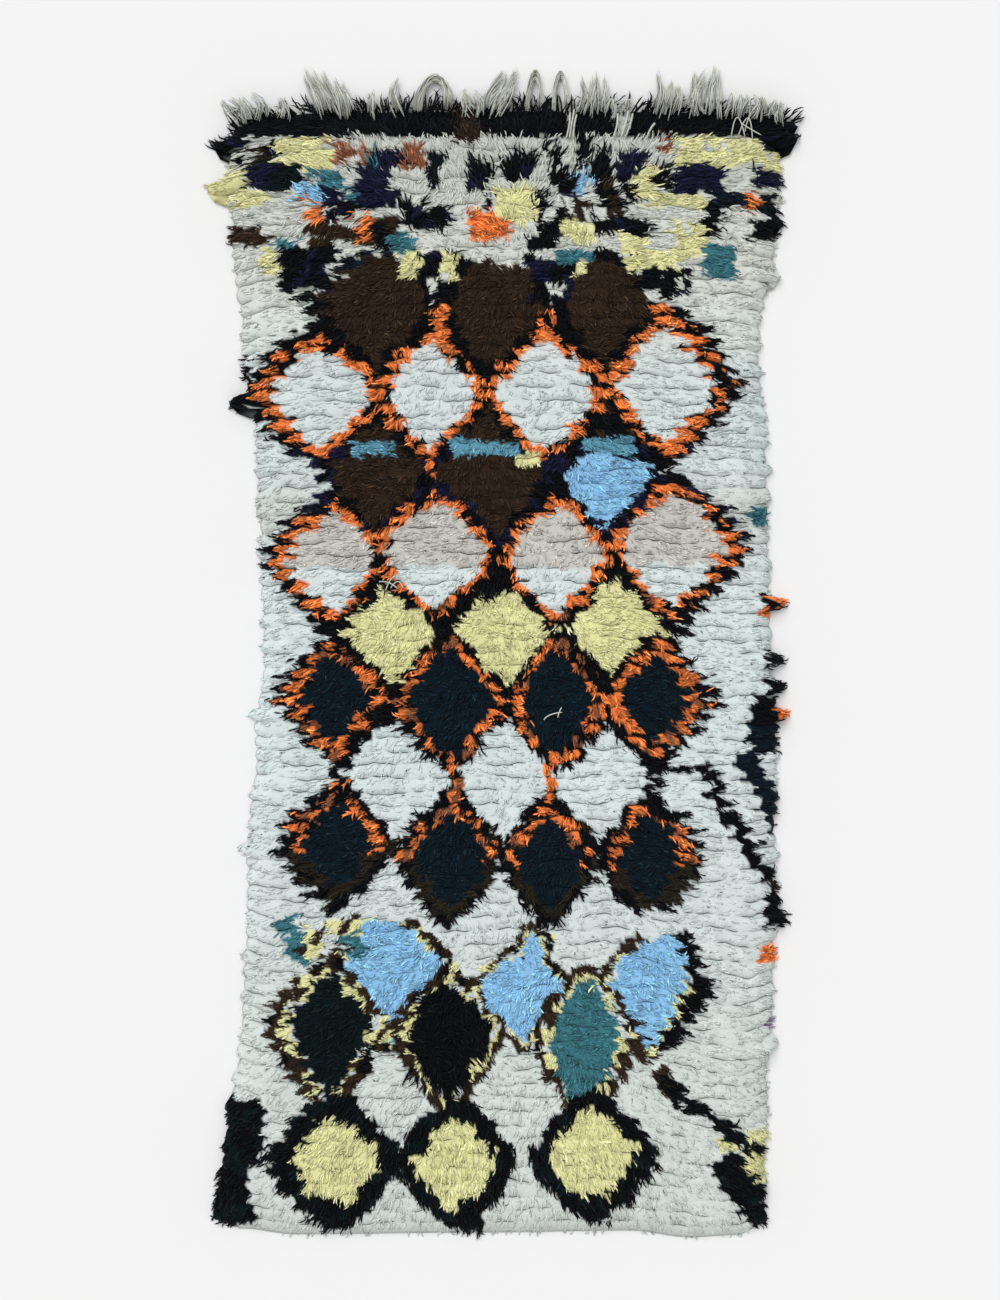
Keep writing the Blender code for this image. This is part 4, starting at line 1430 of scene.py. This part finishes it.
def warp_fringe():
    """The warp fringe: tufts of fine yarns that come up through the black band and fall over the
    head to the floor."""
    chance = np.random.default_rng(PILE_SEED + 6)
    sizes = bpy.context.scene.shag_runner
    stops = tuple(np.linspace(0, 1, 10).round(3).tolist())
    t = np.array(stops)
    flat = []
    for tuft in TUFTS:
        flat += (loop_paths if tuft.looped else lock_paths)(tuft, t, chance)
    flat = np.array(flat)
    count = len(flat)
    past = flat[:, 1, :] - HEAD_Y
    lift = FRINGE_PILED * chance.uniform(0, 1, (count, 1)) * smooth(4 * t)
    z = FRINGE_LOW + lift + FRINGE_RISE * (1 - smooth((past - 0.012) / 0.030))
    paths = np.stack((CENTRE_X + flat[:, 0, :], flat[:, 1, :], z), -1)
    girth = 0.5 * sizes.fringe_width * chance.uniform(0.75, 1.25, count)
    taper = np.interp(t[:-1], (0, 0.2, 0.7, 1), (0.8, 1.0, 0.9, 0.35))
    points = tube_points(paths, girth[:, None] * taper, chance.uniform(0, 6, count), 3)
    points[:, :, 2] = np.maximum(points[:, :, 2], LOWEST)
    faces, places = tube_pattern(stops, 3)
    by_shape = {
        "tone": chance.uniform(0, 1, count),
        "warm": chance.uniform(0, 1, count) ** 2,
        "bright": chance.uniform(0.8, 1.1, count),
    }
    piece = many_alike("fringe_yarn", points, faces, places, by_shape)
    # The fringe's wool keeps 0.7 of its colour at the roots, under painted shade.
    piece.data.materials.append(
        wool("wool_warp", linear(228, 233, 225), 0.2, 0.7, linear(196, 192, 176))
    )
    belongs(piece, "warp_fringe")


def loose_threads():
    """The stray yarns: quadratic arcs through the three places of the table, over the pile."""
    t = np.linspace(0, 1, 14)
    stops = tuple(t.round(3).tolist())
    paths = []
    for thread in THREADS:
        first = np.array((thread.across, thread.down))
        via = np.array((thread.by_across, thread.by_down))
        last = np.array((thread.to_across, thread.to_down))
        pull = 2 * via - (first + last) / 2
        arc = ((1 - t) ** 2)[:, None] * first + (2 * t * (1 - t))[:, None] * pull
        arc = (arc + (t**2)[:, None] * last) * CM
        z = 0.0295 + 0.002 * np.sin(np.pi * t)
        paths.append(np.stack((CENTRE_X + arc[:, 0], HEAD_Y - arc[:, 1], z), -1))
    count = len(paths)
    girths = np.array([thread.girth for thread in THREADS])[:, None] * np.ones(len(t) - 1)
    points = tube_points(np.array(paths), girths, np.zeros(count), 5)
    faces, places = tube_pattern(stops, 5)
    tone = np.linspace(0.3, 0.8, count)
    by_shape = {"tone": tone, "warm": np.ones(count), "bright": np.full(count, 0.85)}
    piece = many_alike("loose_threads", points, faces, places, by_shape)
    piece.data.materials.append(yarn_material(YARN_NUMBER["ivory"]))
    belongs(piece, "shag_rug")


def studio_floor():
    """The floor: a plain matt square round the rug."""
    half = FLOOR_HALF
    corners = [(-half, -half, 0), (half, -half, 0), (half, half, 0), (-half, half, 0)]
    mesh = bpy.data.meshes.new("studio_floor")
    mesh.from_pydata(corners, [], [(0, 1, 2, 3)])
    floor = new_object("studio_floor", mesh)
    paint = bpy.data.materials.new("studio_paint")
    paint.use_nodes = True
    shader = paint.node_tree.nodes["Principled BSDF"]
    shader.inputs["Base Color"].default_value = (FLOOR_GREY, FLOOR_GREY, FLOOR_GREY, 1.0)
    shader.inputs["Roughness"].default_value = 0.95
    shader.inputs["Specular IOR Level"].default_value = 0.0
    mesh.materials.append(paint)


def stage():
    """The floor, the even sky with one soft lamp, and the camera straight overhead."""
    scene = bpy.context.scene
    studio_floor()
    scene.world = bpy.data.worlds.new("studio_world")
    scene.world.use_nodes = True
    sky = scene.world.node_tree.nodes["Background"]
    sky.inputs["Color"].default_value = (1.0, 1.0, 1.0, 1.0)
    sky.inputs["Strength"].default_value = SKY_STRENGTH
    lamp = bpy.data.lights.new("key_light", "SUN")
    lamp.energy = LAMP_STRENGTH
    lamp.angle = LAMP_SPREAD
    new_object("key_light", lamp).rotation_euler = LAMP_TURN

    height = scene.shag_runner.camera_height
    camera_data = bpy.data.cameras.new("camera")
    camera_data.sensor_width = SENSOR_WIDTH
    camera_data.lens = SENSOR_WIDTH * (height - PILE_TOP) / SHOWN_LENGTH
    camera = new_object("camera", camera_data)
    camera.location = (*CAMERA_PLACE, height)
    scene.camera = camera
    scene.view_settings.view_transform = "Standard"


class RunnerSizes(bpy.types.PropertyGroup):
    """Sizes of the pile that a user may change."""

    pile_height: FloatProperty(
        name="Pile height", description="How high the pile stands in the middle of a row",
        default=0.0280, min=0.015, max=0.040, unit="LENGTH",
    )
    lock_reach: FloatProperty(
        name="Lock reach", description="How far the ends hang past the ground weave",
        default=0.010, min=0.005, max=0.015, unit="LENGTH",
    )
    fringe_width: FloatProperty(
        name="Fringe yarn width", description="Width of one yarn of the warp fringe",
        default=0.0021, min=0.001, max=0.005, unit="LENGTH",
    )
    camera_height: FloatProperty(
        name="Camera height", description="How high the camera hangs over the floor",
        default=3.2, min=1.5, max=6.0, unit="LENGTH",
    )


class RunnerYarns(bpy.types.PropertyGroup):
    """Colours of the yarns that a user may change."""

    __annotations__ = {
        yarn.name: FloatVectorProperty(
            name=yarn.name.replace("_", " ").capitalize(), description=yarn.label,
            default=yarn.colour, min=0.0, max=1.0, subtype="COLOR",
        )
        for yarn in YARNS
    }


class SHAGRUNNER_OT_ground(bpy.types.Operator):
    """Weaves the thin wool ground that carries the knots"""

    bl_idname = "shag_runner.ground"
    bl_label = "Ground weave"

    def execute(self, context):
        ground_weave()
        return {"FINISHED"}


class SHAGRUNNER_OT_knots(bpy.types.Operator):
    """Lays the backs of the knots under the ground weave"""

    bl_idname = "shag_runner.knots"
    bl_label = "Knot backs"

    def execute(self, context):
        knot_backs()
        return {"FINISHED"}


class SHAGRUNNER_OT_bed(bpy.types.Operator):
    """Lays the bed of matted wool that the yarn ends lie on"""

    bl_idname = "shag_runner.bed"
    bl_label = "Bed of wool"

    def execute(self, context):
        pile_bed()
        return {"FINISHED"}


class SHAGRUNNER_OT_pile(bpy.types.Operator):
    """Lays the yarn ends of the pile, a piece or more for each yarn"""

    bl_idname = "shag_runner.pile"
    bl_label = "Pile"

    def execute(self, context):
        pile_pieces()
        return {"FINISHED"}


class SHAGRUNNER_OT_fringe(bpy.types.Operator):
    """Lays the warp ends and loops past the head"""

    bl_idname = "shag_runner.fringe"
    bl_label = "Warp fringe"

    def execute(self, context):
        warp_fringe()
        return {"FINISHED"}


class SHAGRUNNER_OT_threads(bpy.types.Operator):
    """Lays the few stray yarns over the pile"""

    bl_idname = "shag_runner.threads"
    bl_label = "Loose threads"

    def execute(self, context):
        loose_threads()
        return {"FINISHED"}


class SHAGRUNNER_OT_stage(bpy.types.Operator):
    """Sets the floor, the soft light and the camera overhead"""

    bl_idname = "shag_runner.stage"
    bl_label = "Stage"

    def execute(self, context):
        stage()
        return {"FINISHED"}


class SHAGRUNNER_PT_panel(bpy.types.Panel):
    """Lists the rug's operators and its sizes and colours"""

    bl_idname = "SHAGRUNNER_PT_panel"
    bl_label = "Shag runner"
    bl_space_type = "VIEW_3D"
    bl_region_type = "UI"
    bl_category = "Shag runner"

    def draw(self, context):
        for operator in OPERATORS:
            self.layout.operator(operator.bl_idname)
        for held in (context.scene.shag_runner, context.scene.shag_yarns):
            box = self.layout.box()
            for key in held.__annotations__:
                box.prop(held, key)


OPERATORS = (
    SHAGRUNNER_OT_ground,
    SHAGRUNNER_OT_knots,
    SHAGRUNNER_OT_bed,
    SHAGRUNNER_OT_pile,
    SHAGRUNNER_OT_fringe,
    SHAGRUNNER_OT_threads,
    SHAGRUNNER_OT_stage,
)
CLASSES = (RunnerSizes, RunnerYarns, *OPERATORS, SHAGRUNNER_PT_panel)


def register():
    """Makes the classes and the two groups of settings known to Blender."""
    for held in CLASSES:
        bpy.utils.register_class(held)
    bpy.types.Scene.shag_runner = PointerProperty(type=RunnerSizes)
    bpy.types.Scene.shag_yarns = PointerProperty(type=RunnerYarns)


def unregister():
    """Takes away what register made known."""
    del bpy.types.Scene.shag_yarns
    del bpy.types.Scene.shag_runner
    for held in reversed(CLASSES):
        bpy.utils.unregister_class(held)


def main():
    """Builds the dressed rug on its stage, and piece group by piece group."""
    register()
    bpy.ops.shag_runner.ground()
    bpy.ops.shag_runner.knots()
    bpy.ops.shag_runner.bed()
    bpy.ops.shag_runner.pile()
    bpy.ops.shag_runner.fringe()
    bpy.ops.shag_runner.threads()
    bpy.ops.shag_runner.stage()


if __name__ == "__main__":
    main()
